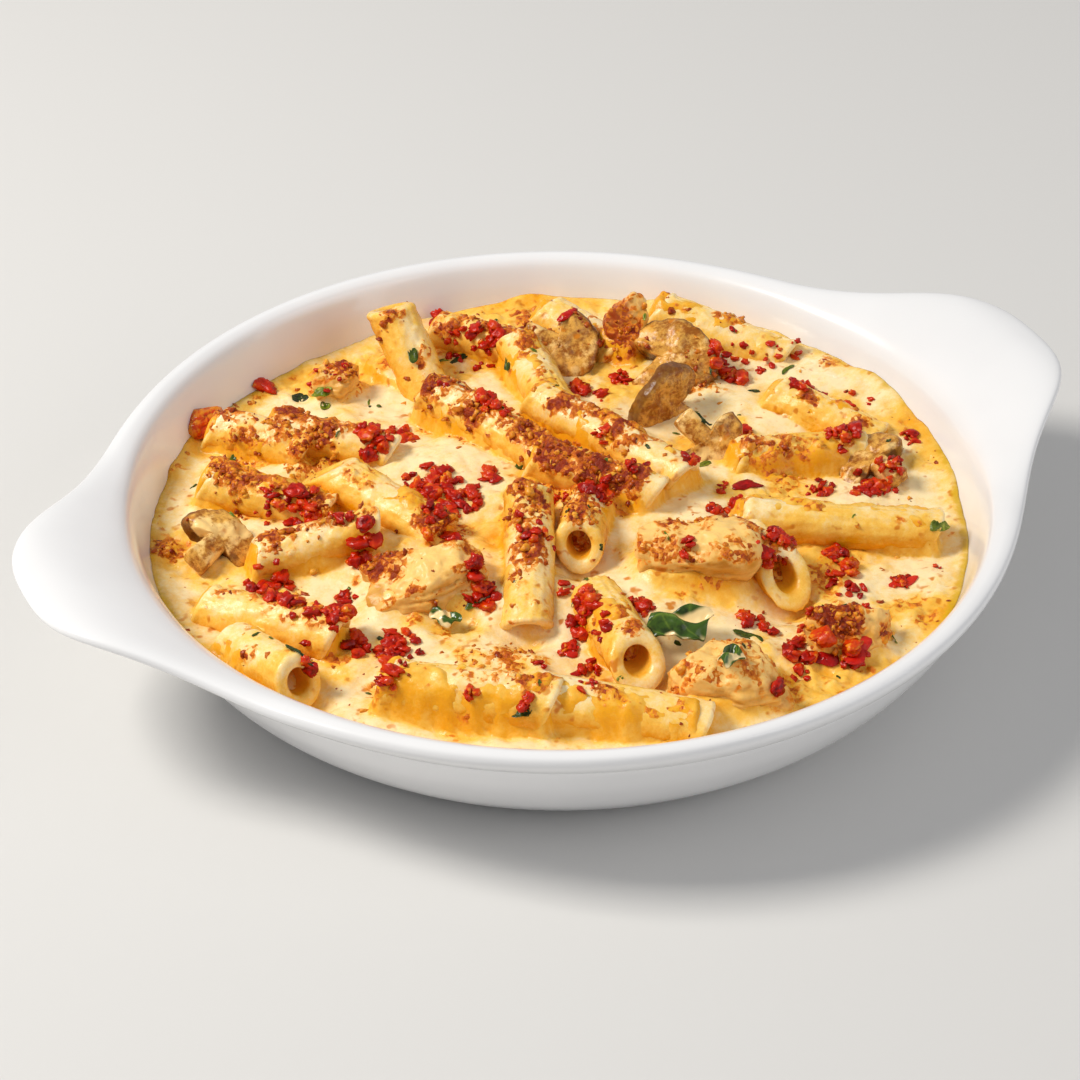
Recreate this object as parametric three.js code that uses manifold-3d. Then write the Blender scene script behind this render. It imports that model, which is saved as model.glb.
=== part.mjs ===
// A round eared gratin dish filled with baked penne: a mound of penne in a pool of cream
// sauce, with chunks of chicken, slices of mushroom, spinach leaves and red crumbs on top.
// Millimetres, +Z up. The origin is the centre of the dish's foot, and the ears lie along X.

import * as THREE from 'three';
import { mergeVertices } from 'three/addons/utils/BufferGeometryUtils.js';
import Module from 'manifold-3d';

const wasm = await Module();
wasm.setup();

// ---- Driving dimensions ----

const EAR_REACH = 22.6; // how far an ear's tip passes the round rim
const EAR_HALF_ANGLE = THREE.MathUtils.degToRad(15.6); // where an ear has half its reach
const EAR_SHARPNESS = 3.3; // how abruptly an ear leaves the round rim
const EAR_RISE = 6.4; // how far an ear's tip stands above the rim
const EAR_RISE_START = 85.6; // distance from the middle where an ear starts to rise
const EAR_RISE_END = 117.8; // distance from the middle where it has risen

const POOL_LEVEL = 20.7; // surface of the sauce
const GAP = 0.35; // clearance between neighbouring pieces
const WALL_GAP = 0.5; // clearance to the dish

const MOUND_RADIUS = 72; // mean radius of the mound
const MOUND_TOP = 24; // height of the middle of the mound
const MOUND_EDGE = 19; // height of the mound at its edge
const MOUND_BANK = 5; // how much higher its edge lies in one direction
const MOUND_BANK_ANGLE = THREE.MathUtils.degToRad(37); // that direction, about Z

const PENNE_RADIUS = 5.5;
const PENNE_BORE = 2.8;
const PENNE_BORE_DEPTH = 9;
const PENNE_SLANT = 0.4; // slope of the oblique cut at each end
const PENNE_SIDES = 12;

const SLICE_THICKNESS = 5; // a slice of mushroom
const LEAF_THICKNESS = 0.7;

const DISH_SEGMENTS = 60;
const FOOD_SEGMENTS = 36;

// The dish's section from the centre of the foot up the outside, as radius and height.
const OUTSIDE = [[0, 0], [72, 0], [74.5, 0.6], [77.5, 2.4], [82.5, 6.5], [88, 12], [93.5, 20],
  [96.6, 26.3]];

// The rim, from the crease under it over the top: radius, height and how far the point
// follows an ear outwards.
const RIM = [[97.3, 28.2, 0], [98.3, 28.9, 0.25], [99.2, 30, 0.65], [99.85, 31.3, 0.95],
  [100, 32.5, 1], [99.4, 33.6, 0.97], [98, 34, 0.82], [96.8, 33.7, 0.5], [95.6, 32.9, 0.22],
  [94.6, 31.4, 0.06]];

// Down the inside to the middle of the floor, as radius and height.
const INSIDE = [[93.2, 28], [91.6, 23.5], [90, 19.5], [86.8, 13.5], [81, 8.8], [72, 6.4],
  [0, 6]];

// The penne that show. Each is placed by the middle of its axis; turn is the direction of its
// far end about Z and tilt that end's rise, in degrees. open is the end whose bore shows.
const PENNE = [
  { x: -6, y: 66, z: 25, turn: -84, tilt: -41, length: 34 },
  { x: -1, y: 33, z: 26.5, turn: -69, tilt: -3, length: 42 },
  { x: 20, y: 16.5, z: 28, turn: -68, tilt: -2, length: 46 },
  { x: 10.5, y: 3.5, z: 28, turn: -50, tilt: -5, length: 30 },
  { x: 3.8, y: -7, z: 25.5, turn: 56, tilt: -10, length: 30, open: -1 },
  { x: -15.6, y: -17, z: 26.5, turn: -115, tilt: -13, length: 40, open: 1 },
  { x: -35, y: 17.5, z: 25.7, turn: -65, tilt: -5, length: 34, open: -1 },
  { x: -57, y: 33, z: 23.5, turn: -47, tilt: -3, length: 30 },
  { x: -55, y: 9.5, z: 24.5, turn: -14, tilt: 10, length: 28 },
  { x: -78.5, y: -22, z: 22, turn: -75, tilt: 10, length: 26, open: 1 },
  { x: -72.5, y: -9, z: 21.5, turn: -52, tilt: 5, length: 34 },
  { x: -46, y: -53.5, z: 25, turn: -39, tilt: 2, length: 36 },
  { x: -20, y: -70, z: 23.5, turn: -33, tilt: -6, length: 36 },
  { x: -8.7, y: -47, z: 25.2, turn: 83, tilt: -7, length: 28, open: -1 },
  { x: 52.4, y: -31, z: 24.5, turn: -25, tilt: -4, length: 44 },
  { x: 32.4, y: -36, z: 24.8, turn: 91, tilt: -7, length: 20, open: -1 },
  { x: 58, y: -2, z: 23, turn: -14, tilt: -4, length: 30 },
  { x: 72.5, y: 10.5, z: 22.5, turn: -58, tilt: -8, length: 28 },
  { x: 66, y: 50, z: 25.2, turn: -50, tilt: -9, length: 34 },
  { x: 37, y: 66.5, z: 24, turn: -67, tilt: -6, length: 24 },
  { x: 18, y: 52, z: 26, turn: -96, tilt: -5, length: 26 },
  { x: 13, y: 76.5, z: 23, turn: -49, tilt: 0, length: 22 },
  { x: -36, y: 48, z: 23.5, turn: -43, tilt: -4, length: 30 },
  { x: -50, y: 56, z: 23, turn: -47, tilt: -3, length: 24 },
];

// Chunks of chicken: the middle, half the size along its own axes, and its turn and tilt.
const CHICKEN = [
  { x: 43, y: 55, z: 28, half: [5, 6, 11], turn: 30, tilt: -12, seed: 3 },
  { x: 17, y: -32, z: 26, half: [14.5, 9, 8.5], turn: -22, tilt: 0, seed: 5 },
  { x: 4.5, y: -71.5, z: 24, half: [12, 9, 8.5], turn: -20, tilt: 0, seed: 8 },
  { x: -37, y: -13.5, z: 25, half: [14, 9, 7.5], turn: -18, tilt: 6, seed: 13 },
  { x: -25, y: 71, z: 23, half: [6, 5, 5.5], turn: 10, tilt: 0, seed: 21 },
  { x: 36.5, y: -66, z: 22.5, half: [9, 7.5, 7], turn: -15, tilt: 0, seed: 34 },
];

// Slices of mushroom, each a cap with a stem, placed by the middle of the cap's foot. turn
// and tilt aim the stem, and roll tips the slice about it.
const MUSHROOM = [
  { x: 28, y: 58.5, z: 26.5, cap: 10.5, turn: 139, tilt: 16, roll: -44 },
  { x: 49.5, y: 42, z: 27, cap: 11.5, turn: -165, tilt: -34, roll: -21 },
  { x: 39.5, y: 26.5, z: 26.5, cap: 10.5, turn: 10, tilt: -49, roll: 88 },
  { x: 41.5, y: 8.5, z: 26, cap: 9, turn: 125, tilt: 36, roll: -45 },
  { x: -73, y: 21, z: 23.5, cap: 9.5, turn: -150, tilt: -6, roll: -30 },
  { x: 73.5, y: -12, z: 23, cap: 9, turn: -70, tilt: -5, roll: 20 },
];

// Leaves: the middle, length, width and turn. Their height comes from what they lie on.
const LEAVES = [
  { x: 3, y: -53.5, length: 15, width: 10, turn: -10 },
  { x: 4, y: -74, length: 7, width: 5, turn: 40 },
  { x: -39, y: -26, length: 7, width: 5, turn: -50 },
];

// Red crumbs in clusters: the middle, how far the crumbs spread, how many, and their size.
const CRUMBS = [
  { x: -24, y: 11, reach: 8, count: 7, size: 4.2 },
  { x: -24, y: 42, reach: 7, count: 4, size: 4 },
  { x: -70, y: -4, reach: 9, count: 6, size: 4.4 },
  { x: -50, y: 20, reach: 6, count: 4, size: 4.2 },
  { x: -59, y: -20, reach: 6, count: 4, size: 4 },
  { x: -53, y: -35, reach: 8, count: 5, size: 4 },
  { x: 11, y: 3, reach: 9, count: 7, size: 4.4 },
  { x: -9, y: -33, reach: 4, count: 3, size: 4.4 },
  { x: 24, y: 41, reach: 5, count: 3, size: 4.2 },
  { x: 12, y: 67, reach: 5, count: 3, size: 4.6 },
  { x: 4, y: 37, reach: 5, count: 3, size: 4.4 },
  { x: 62, y: 36, reach: 7, count: 4, size: 3.6 },
  { x: 74, y: 24, reach: 6, count: 3, size: 3.6 },
  { x: 70, y: -14, reach: 9, count: 6, size: 4.4 },
  { x: 50, y: -46, reach: 7, count: 5, size: 3.6 },
  { x: 20, y: -66, reach: 6, count: 4, size: 3.8 },
  { x: 31, y: -40, reach: 5, count: 3, size: 4.2 },
  { x: 56, y: -53, reach: 7, count: 4, size: 3.8 },
  { x: -19, y: -60, reach: 6, count: 3, size: 4 },
  { x: -60, y: 66, reach: 1, count: 1, size: 6.5 },
  { x: -38, y: 79, reach: 1, count: 1, size: 4.6 },
  { x: 8, y: 86, reach: 1, count: 1, size: 5.4 },
  { x: 33, y: -74, reach: 2, count: 1, size: 7.5 },
];

// ---- Materials ----

function material(color, roughness) {
  return new THREE.MeshStandardMaterial({ color, roughness, metalness: 0 });
}

const GLAZE = material('#f1efeb', 0.15);
const CREAM = material('#f5d98d', 0.35);
const PASTA = material('#eebf5b', 0.5);
const CHICKEN_FLESH = material('#d9a566', 0.6);
const MUSHROOM_FLESH = material('#8d6f4d', 0.6);
const SPINACH = material('#4f6b2a', 0.5);

// ---- Numbers and lookups ----

// A repeatable stream of random numbers from 0 to 1.
function randomStream(seed) {
  let state = seed;
  return () => {
    state = (state + 0x6d2b79f5) | 0;
    let t = Math.imul(state ^ (state >>> 15), 1 | state);
    t = (t + Math.imul(t ^ (t >>> 7), 61 | t)) ^ t;
    return ((t ^ (t >>> 14)) >>> 0) / 4294967296;
  };
}

// Straight-line lookup in the inside rows of column 'value' where column 'at' equals x.
function alongInside(at, x, value) {
  const next = INSIDE.findIndex((row, i) => i > 0 && x >= row[at]);
  const low = INSIDE[next];
  const high = INSIDE[next - 1];
  const share = THREE.MathUtils.clamp((x - low[at]) / (high[at] - low[at]), 0, 1);
  return THREE.MathUtils.lerp(low[value], high[value], share);
}

const floorHeight = (radius) => alongInside(0, radius, 1);
const wallRadius = (height) => alongInside(1, height, 0);

// ---- Solids ----

// A closed solid from any geometry, with its shared corners merged.
function solidFrom(geometry) {
  const plain = geometry.clone();
  plain.deleteAttribute('normal');
  plain.deleteAttribute('uv');
  const merged = mergeVertices(plain, 1e-4);
  const corners = merged.index.array;
  const faces = [];
  for (let i = 0; i < corners.length; i += 3) {
    const [a, b, c] = corners.slice(i, i + 3);
    if (a !== b && b !== c && c !== a) faces.push(a, b, c);
  }
  return new wasm.Manifold(new wasm.Mesh({
    numProp: 3,
    vertProperties: Float32Array.from(merged.attributes.position.array),
    triVerts: Uint32Array.from(faces),
  }));
}

// The largest body of a solid, without the loose scraps that cutting leaves.
function largestBody(solid) {
  return solid.decompose().sort((a, b) => b.volume() - a.volume())[0];
}

const joined = (solids) => solids.reduce((whole, solid) => whole.add(solid));

const without = (solid, cuts) => cuts.reduce((rest, cut) => rest.subtract(cut), solid);

function meshFrom(solid, name, finish) {
  const { vertProperties, triVerts } = solid.getMesh();
  const geometry = new THREE.BufferGeometry();
  geometry.setAttribute('position', new THREE.BufferAttribute(vertProperties, 3));
  geometry.setIndex(new THREE.BufferAttribute(triVerts, 1));
  geometry.computeVertexNormals();
  const mesh = new THREE.Mesh(geometry, finish);
  mesh.name = name;
  return mesh;
}

// Moves each corner of a geometry by a function of its place and number.
function reshaped(geometry, move) {
  const places = geometry.attributes.position;
  const point = new THREE.Vector3();
  for (let i = 0; i < places.count; i += 1) {
    point.fromBufferAttribute(places, i);
    move(point, i);
    places.setXYZ(i, point.x, point.y, point.z);
  }
  return geometry;
}

// A section of [radius, height] rows turned about Z.
function turnedSection(rows, segments) {
  const outline = rows.map(([radius, height]) => new THREE.Vector2(radius, height));
  return new THREE.LatheGeometry(outline, segments).rotateX(Math.PI / 2);
}

// Moves a corner to a radius and height in the direction that it already has.
function setOut(point, radius, height) {
  const angle = Math.atan2(point.y, point.x);
  point.set(radius * Math.cos(angle), radius * Math.sin(angle), height);
}

// Puts a shape made at the origin along X in its place.
function placed(geometry, { x, y, z, turn = 0, tilt = 0, roll = 0 }) {
  const [spin, lift, heading] = [roll, -tilt, turn].map(THREE.MathUtils.degToRad);
  const marker = new THREE.Object3D();
  marker.position.set(x, y, z);
  marker.rotation.set(spin, lift, heading, 'ZYX');
  marker.updateMatrix();
  return geometry.applyMatrix4(marker.matrix);
}

// ---- The dish ----

// How much of an ear's reach the rim has in a point's direction: 1 on the ears' axis.
function earShare(point) {
  const angle = Math.atan2(Math.abs(point.y), Math.abs(point.x));
  return 1 / (1 + (angle / EAR_HALF_ANGLE) ** EAR_SHARPNESS);
}

function dish() {
  const rows = [...OUTSIDE, ...RIM, ...INSIDE];
  const first = OUTSIDE.length;
  const last = first + RIM.length;
  return solidFrom(reshaped(turnedSection(rows, DISH_SEGMENTS), (point, i) => {
    const row = i % rows.length;
    if (row < first || row >= last) return;
    const [radius, height, follow] = rows[row];
    setOut(point, radius + EAR_REACH * follow * earShare(point), height);
    const out = Math.abs(point.x);
    point.z += EAR_RISE * THREE.MathUtils.smoothstep(out, EAR_RISE_START, EAR_RISE_END);
  }));
}

// The space inside the dish that food may fill, a little clear of the wall and floor.
function cavity() {
  const ceiling = 60;
  const wall = INSIDE.map(([radius, height]) => [Math.max(0, radius - WALL_GAP),
    height + WALL_GAP]).toReversed();
  const top = wall[wall.length - 1][0];
  return solidFrom(turnedSection([...wall, [top, ceiling], [0, ceiling]], DISH_SEGMENTS));
}

// ---- The mound and the pool ----

// The mound's uneven outline.
function moundRadius(angle) {
  return MOUND_RADIUS + 6.5 * Math.sin(2 * angle + 0.4) + 2 * Math.sin(5 * angle) +
    1.5 * Math.cos(9 * angle + 1);
}

// The mound's lumpy surface: high in the middle, banked up at the far right, with bumps as
// wide as a penne.
function moundTop(x, y) {
  const fall = Math.min(1, Math.hypot(x, y) / MOUND_RADIUS) ** 2;
  const along = x * Math.cos(MOUND_BANK_ANGLE) + y * Math.sin(MOUND_BANK_ANGLE);
  const bank = MOUND_BANK * THREE.MathUtils.smoothstep(along, 0.6 * MOUND_RADIUS, 82);
  const bumps = Math.sin(x / 6.5 + 1) * Math.cos(y / 7.5) + 0.6 * Math.sin((x + y) / 9);
  return THREE.MathUtils.lerp(MOUND_TOP, MOUND_EDGE, fall) + bank + bumps;
}

// The bare mound, grown by a clearance on its top and side.
function mound(growth = 0) {
  const shares = [0, 0.14, 0.28, 0.42, 0.56, 0.7, 0.82, 0.92, 1];
  const rows = [[0, 0], [0.7, 0], [1, 0], ...shares.toReversed().map((share) => [share, 1])];
  return solidFrom(reshaped(turnedSection(rows, FOOD_SEGMENTS), (point, i) => {
    const [share, top] = rows[i % rows.length];
    const radius = share * (moundRadius(Math.atan2(point.y, point.x)) + growth);
    setOut(point, radius, floorHeight(radius) + WALL_GAP);
    if (top) point.z = moundTop(point.x, point.y) + growth;
    else point.z -= growth;
  }));
}

// The pool of sauce between the mound and the dish's wall, up to its level. The section's
// rows run from the mound (0) to the wall (1), and from the floor (0) to the surface (1).
function pool() {
  const rows = [[0, 0], [1, 0], [1, 0.5], [1, 1], [0, 1], [0, 0]];
  const lowest = 11;
  const ring = turnedSection(rows.map(([across, up]) => [1 + across, up]), FOOD_SEGMENTS);
  return solidFrom(reshaped(ring, (point, i) => {
    const [across, up] = rows[i % rows.length];
    const angle = Math.atan2(point.y, point.x);
    const wall = wallRadius(THREE.MathUtils.lerp(lowest, POOL_LEVEL, up)) - WALL_GAP;
    const radius = THREE.MathUtils.lerp(moundRadius(angle) + GAP, wall, across);
    const floor = floorHeight(radius) + WALL_GAP;
    setOut(point, radius, THREE.MathUtils.lerp(floor, POOL_LEVEL, up));
  }));
}

// ---- Pieces of food ----

// One penne as a rod along X with both ends cut at the same slant.
function penneRod(row, growth = 0) {
  const radius = PENNE_RADIUS + growth;
  const length = row.length + 2 * growth;
  const rod = new THREE.CylinderGeometry(radius, radius, length, PENNE_SIDES);
  reshaped(rod.rotateZ(-Math.PI / 2), (point) => { point.x += PENNE_SLANT * point.z; });
  return solidFrom(placed(rod, row));
}

// The bore at a penne's open end, running out a little past its slanted cut.
function penneBore(row) {
  const beyond = 2;
  const bore = new THREE.CylinderGeometry(PENNE_BORE, PENNE_BORE, PENNE_BORE_DEPTH + beyond,
    PENNE_SIDES - 4);
  const middle = (row.length + beyond - PENNE_BORE_DEPTH) / 2;
  bore.rotateZ(-Math.PI / 2).translate(row.open * middle, 0, 0);
  return solidFrom(placed(bore, row));
}

// A torn chunk: a ball pushed towards a box, with crags from a few crossing waves.
function chunk(row, growth = 0) {
  const random = randomStream(row.seed);
  const waves = Array.from({ length: 4 }, () => ({
    along: new THREE.Vector3(random() - 0.5, random() - 0.5, random() - 0.5).setLength(3.2),
    phase: 6.3 * random(),
  }));
  const [a, b, c] = row.half.map((half) => half + growth);
  const ball = reshaped(new THREE.IcosahedronGeometry(1, 2), (point) => {
    const boxed = (point.x ** 4 + point.y ** 4 + point.z ** 4) ** -0.2;
    const crag = waves.reduce((sum, wave) => sum + Math.sin(wave.along.dot(point) +
      wave.phase), 0);
    point.multiplyScalar(boxed * (0.95 + 0.05 * crag));
    point.set(point.x * a, point.y * b, point.z * c);
  });
  return solidFrom(placed(ball, row));
}

// A slice through a mushroom: a domed cap with curled edges on a short stem along X.
function slice(row, growth = 0) {
  const { cap } = row;
  const outline = new THREE.Shape();
  outline.moveTo(0.95 * cap, 0.3 * cap);
  outline.lineTo(0.15 * cap, 0.28 * cap);
  outline.quadraticCurveTo(0.35 * cap, 0.75 * cap, 0.1 * cap, cap);
  outline.bezierCurveTo(-0.45 * cap, cap, -0.85 * cap, 0.55 * cap, -0.85 * cap, 0);
  outline.bezierCurveTo(-0.85 * cap, -0.55 * cap, -0.45 * cap, -cap, 0.1 * cap, -cap);
  outline.quadraticCurveTo(0.35 * cap, -0.75 * cap, 0.15 * cap, -0.28 * cap);
  outline.lineTo(0.95 * cap, -0.3 * cap);
  const body = new THREE.ExtrudeGeometry(outline, {
    depth: SLICE_THICKNESS - 2,
    curveSegments: 4,
    bevelSegments: 1,
    bevelThickness: 1 + growth,
    bevelSize: 0.8,
    bevelOffset: growth - 0.8,
  });
  return solidFrom(placed(body.translate(0, 0, 1 - SLICE_THICKNESS / 2), row));
}

// A thin wavy leaf, pointed at both ends, its two faces split into triangles alike.
function leaf({ length, width }) {
  const [along, across] = [8, 3];
  const place = (i, j) => {
    const [u, v] = [i / along, j / across - 0.5];
    const side = v * Math.abs(Math.sin(Math.PI * u)) ** 0.7;
    const wave = 0.7 * Math.sin(7 * u) + 1.6 * side * Math.cos(5 * u);
    return [length * (u - 0.5), width * side, wave];
  };
  const points = [LEAF_THICKNESS, 0].flatMap((lift) => Array.from(
    { length: (along + 1) * (across + 1) },
    (_, n) => {
      const [x, y, z] = place(Math.floor(n / (across + 1)), n % (across + 1));
      return [x, y, z + lift];
    },
  ));
  const top = (i, j) => i * (across + 1) + j;
  const under = (i, j) => top(i, j) + points.length / 2;
  const faces = [];
  for (let i = 0; i < along; i += 1) {
    for (let j = 0; j < across; j += 1) {
      faces.push(top(i, j), top(i + 1, j), top(i + 1, j + 1));
      faces.push(top(i, j), top(i + 1, j + 1), top(i, j + 1));
      faces.push(under(i, j), under(i + 1, j + 1), under(i + 1, j));
      faces.push(under(i, j), under(i, j + 1), under(i + 1, j + 1));
    }
    faces.push(top(i, 0), under(i, 0), under(i + 1, 0));
    faces.push(top(i, 0), under(i + 1, 0), top(i + 1, 0));
    faces.push(top(i, across), top(i + 1, across), under(i + 1, across));
    faces.push(top(i, across), under(i + 1, across), under(i, across));
  }
  const sheet = new THREE.BufferGeometry();
  sheet.setAttribute('position', new THREE.Float32BufferAttribute(points.flat(), 3));
  return sheet.setIndex(faces);
}

// ---- Assembly ----

const space = cavity();
const clearMound = mound(GAP);
const inSpace = (solid) => solid.intersect(space);

// Chunks and slices lie on the bare mound, each clear of the ones before it.
const toppings = [];
function addTopping(name, finish, shape, row) {
  const earlier = toppings.map((topping) => topping.clear);
  const solid = without(inSpace(shape(row)), [clearMound, ...earlier]);
  toppings.push({ name, finish, solid: largestBody(solid), clear: shape(row, GAP) });
}
CHICKEN.forEach((row, i) => addTopping(`chicken_${i + 1}`, CHICKEN_FLESH, chunk, row));
MUSHROOM.forEach((row, i) => addTopping(`mushroom_${i + 1}`, MUSHROOM_FLESH, slice, row));
const clearToppings = toppings.map((topping) => topping.clear);

// The penne are fused to the mound, cut back where a topping lies.
const rods = without(inSpace(joined(PENNE.map((row) => penneRod(row)))), clearToppings);
const bores = PENNE.filter((row) => row.open).map(penneBore);
const heap = largestBody(without(mound().add(rods), bores));

// The sauce is cut round the penne and the toppings.
const clearRods = PENNE.map((row) => penneRod(row, GAP));
const sauce = largestBody(without(pool(), [...clearRods, ...clearToppings]));

const food = [
  { name: 'penne_heap', finish: PASTA, solid: heap },
  { name: 'cream_sauce', finish: CREAM, solid: sauce },
  ...toppings,
];
food.forEach((piece) => { piece.mesh = meshFrom(piece.solid, piece.name, piece.finish); });

// What a straight drop at (x, y) meets first: the piece and its height.
function landing(x, y) {
  const drop = new THREE.Raycaster(new THREE.Vector3(x, y, 80), new THREE.Vector3(0, 0, -1));
  const hits = food.flatMap((piece) => drop.intersectObject(piece.mesh)
    .map((hit) => ({ piece, z: hit.point.z })));
  return hits.sort((a, b) => b.z - a.z)[0];
}

// A leaf is raised in small steps from what is under its middle until it is clear of all.
function restingLeaf(row, i) {
  const step = 0.2;
  const resting = (z) => solidFrom(placed(leaf(row), { ...row, z }));
  let { z } = landing(row.x, row.y);
  while (food.some((piece) => resting(z - GAP).intersect(piece.solid).numTri() > 0)) z += step;
  const name = `spinach_${i + 1}`;
  const solid = resting(z);
  return { name, finish: SPINACH, solid, mesh: meshFrom(solid, name, SPINACH) };
}
food.push(...LEAVES.map(restingLeaf));

// Crumbs sink a little into what they land on, and one that would touch two pieces is left
// out.
function scatterCrumbs() {
  const random = randomStream(7);
  const fused = new Map(food.map((piece) => [piece, [piece.solid]]));
  for (const { x, y, reach, count, size } of CRUMBS) {
    for (let i = 0; i < count; i += 1) {
      const [away, angle] = [reach * Math.sqrt(random()), 2 * Math.PI * random()];
      const [cx, cy] = [x + away * Math.cos(angle), y + away * Math.sin(angle)];
      const stretch = [0.6 + 0.3 * random(), 0.45 + 0.2 * random(), 0.35 + 0.1 * random()];
      const [turn, tilt, roll] = [360 * random(), 30 * random(), 40 * random()];
      const { piece, z } = landing(cx, cy);
      const crumb = (growth) => {
        const grain = new THREE.OctahedronGeometry(1);
        grain.scale(...stretch.map((share) => share * size + growth));
        return solidFrom(placed(grain, { x: cx, y: cy, z: z + 0.1 * size, turn, tilt, roll }));
      };
      const clear = crumb(GAP);
      const touches = (other) => other !== piece && clear.intersect(other.solid).numTri() > 0;
      if (food.some(touches) || clear.subtract(space).numTri() > 0) continue;
      fused.get(piece).push(crumb(0));
    }
  }
  return fused;
}

const group = new THREE.Group();
group.name = 'dish_of_baked_penne';
group.add(meshFrom(dish(), 'dish', GLAZE));
scatterCrumbs().forEach((solids, piece) => {
  group.add(meshFrom(joined(solids), piece.name, piece.finish));
});

export default group;
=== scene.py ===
"""The looks of a dish of baked penne: an eared gratin dish of pasta in cream sauce."""

from itertools import product
from math import pi, radians

import bpy
import numpy as np
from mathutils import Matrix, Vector


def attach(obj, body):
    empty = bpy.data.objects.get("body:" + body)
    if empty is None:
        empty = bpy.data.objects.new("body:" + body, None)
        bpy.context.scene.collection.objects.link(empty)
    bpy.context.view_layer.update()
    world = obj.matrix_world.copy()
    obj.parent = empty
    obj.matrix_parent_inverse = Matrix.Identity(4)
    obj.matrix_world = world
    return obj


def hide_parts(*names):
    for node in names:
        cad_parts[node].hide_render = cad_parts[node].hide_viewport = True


bl_info = {
    "name": "Baked penne",
    "version": (1, 0, 0),
    "blender": (4, 5, 0),
    "location": "View3D > Sidebar > Baked penne",
    "description": "Builds an eared gratin dish of baked penne over its packed frame",
    "category": "Object",
}

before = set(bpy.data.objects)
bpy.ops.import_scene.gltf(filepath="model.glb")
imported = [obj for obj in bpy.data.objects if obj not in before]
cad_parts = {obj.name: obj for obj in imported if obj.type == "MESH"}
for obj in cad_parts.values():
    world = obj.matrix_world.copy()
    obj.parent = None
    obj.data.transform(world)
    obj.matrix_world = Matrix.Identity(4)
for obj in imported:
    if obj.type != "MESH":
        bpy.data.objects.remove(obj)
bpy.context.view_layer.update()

MM = 0.001

# ---- Sizes and placements, in millimetres and degrees ----

# The dish, the mound, the penne, the chunks, the slices and the leaves are placed as in the
# part's source. The crumbs, the pepper, the herbs and the browning are placed here.

# The dish's section: up the outside, over the rim and down the inside, as radius, height and
# how far the point follows an ear outwards.
OUTSIDE = [
    (0, 0, 0), (72, 0, 0), (74.5, 0.6, 0), (77.5, 2.4, 0), (82.5, 6.5, 0), (88, 12, 0),
    (93.5, 20, 0), (96.6, 26.3, 0),
]
RIM = [
    (97.3, 28.2, 0), (98.3, 28.9, 0.25), (99.2, 30, 0.65), (99.85, 31.3, 0.95),
    (100, 32.5, 1), (99.4, 33.6, 0.97), (98, 34, 0.82), (96.8, 33.7, 0.5),
    (95.6, 32.9, 0.22), (94.6, 31.4, 0.06),
]
INSIDE = [
    (93.2, 28, 0), (91.6, 23.5, 0), (90, 19.5, 0), (86.8, 13.5, 0), (81, 8.8, 0),
    (72, 6.4, 0), (0, 6, 0),
]
EAR_REACH, EAR_HALF_ANGLE, EAR_SHARPNESS = 22.6, radians(15.6), 3.3
EAR_RISE, EAR_RISE_START, EAR_RISE_END = 6.4, 85.6, 117.8

# Penne: x, y, z, turn, tilt, length, the end whose bore shows, how browned its top is and
# how much more that end is slanted.
PENNE = [
    (-6, 66, 25, -84, -41, 34, 0, 0.3, 0),
    (-1, 33, 26.5, -69, -3, 42, 0, 0.7, 0),
    (20, 16.5, 28, -68, -2, 46, 0, 0.42, 0),
    (10.5, 3.5, 28, -50, -5, 30, 0, 0.85, 0),
    (3.8, -7, 25.5, 56, -10, 30, -1, 0.7, 0),
    (-15.6, -17, 26.5, -115, -13, 40, 1, 0.7, 0),
    (-35, 17.5, 25.7, -65, -5, 34, -1, 0.35, 0.75),
    (-57, 33, 23.5, -47, -3, 30, 0, 0.6, 0),
    (-55, 9.5, 24.5, -14, 10, 28, 0, 0.65, 0),
    (-78.5, -22, 22, -75, 10, 26, 1, 0.2, -0.6),
    (-72.5, -9, 21.5, -52, 5, 34, 0, 0.3, 0),
    (-46, -53.5, 25, -39, 2, 36, 0, 0.55, 0),
    (-20, -70, 23.5, -33, -6, 36, 0, 0.35, 0),
    (-8.7, -47, 25.2, 83, -7, 28, -1, 0.4, 0.45),
    (52.4, -31, 24.5, -25, -4, 44, 0, 0.25, 0),
    (32.4, -36, 24.8, 91, -7, 20, -1, 0.6, 0.6),
    (58, -2, 23, -14, -4, 30, 0, 0.5, 0),
    (72.5, 10.5, 22.5, -58, -8, 28, 0, 0.35, 0),
    (66, 50, 25.2, -50, -9, 34, 0, 0.3, 0),
    (37, 66.5, 24, -67, -6, 24, 0, 0.35, 0),
    (18, 52, 26, -96, -5, 26, 0, 0.4, 0),
    (13, 76.5, 23, -49, 0, 22, 0, 0.5, 0),
    (-36, 48, 23.5, -43, -4, 30, 0, 0.65, 0),
    (-50, 56, 23, -47, -3, 24, 0, 0.65, 0),
]
PENNE_RADIUS, PENNE_BORE, PENNE_BORE_DEPTH, PENNE_SLANT = 5.5, 2.8, 9, 0.4

# Chicken: x, y, z, half sizes, turn, tilt, seed of its crags, how browned, how creamy.
CHICKEN = [
    (43, 55, 28, (5, 6, 11), 30, -12, 3, 0.4, 0.1),
    (17, -32, 26, (14.5, 9, 8.5), -22, 0, 5, 0.6, 0.5),
    (4.5, -71.5, 24, (12, 9, 8.5), -20, 0, 8, 0.4, 0.6),
    (-37, -13.5, 25, (14, 9, 7.5), -18, 6, 13, 0.65, 0.5),
    (-25, 71, 23, (6, 5, 5.5), 10, 0, 21, 0.75, 0.2),
    (36.5, -66, 22.5, (9, 7.5, 7), -15, 0, 34, 0.7, 0.25),
]

# The chunk with this seed has a stripe of red rind.
SEED_WITH_RIND = 3

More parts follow.
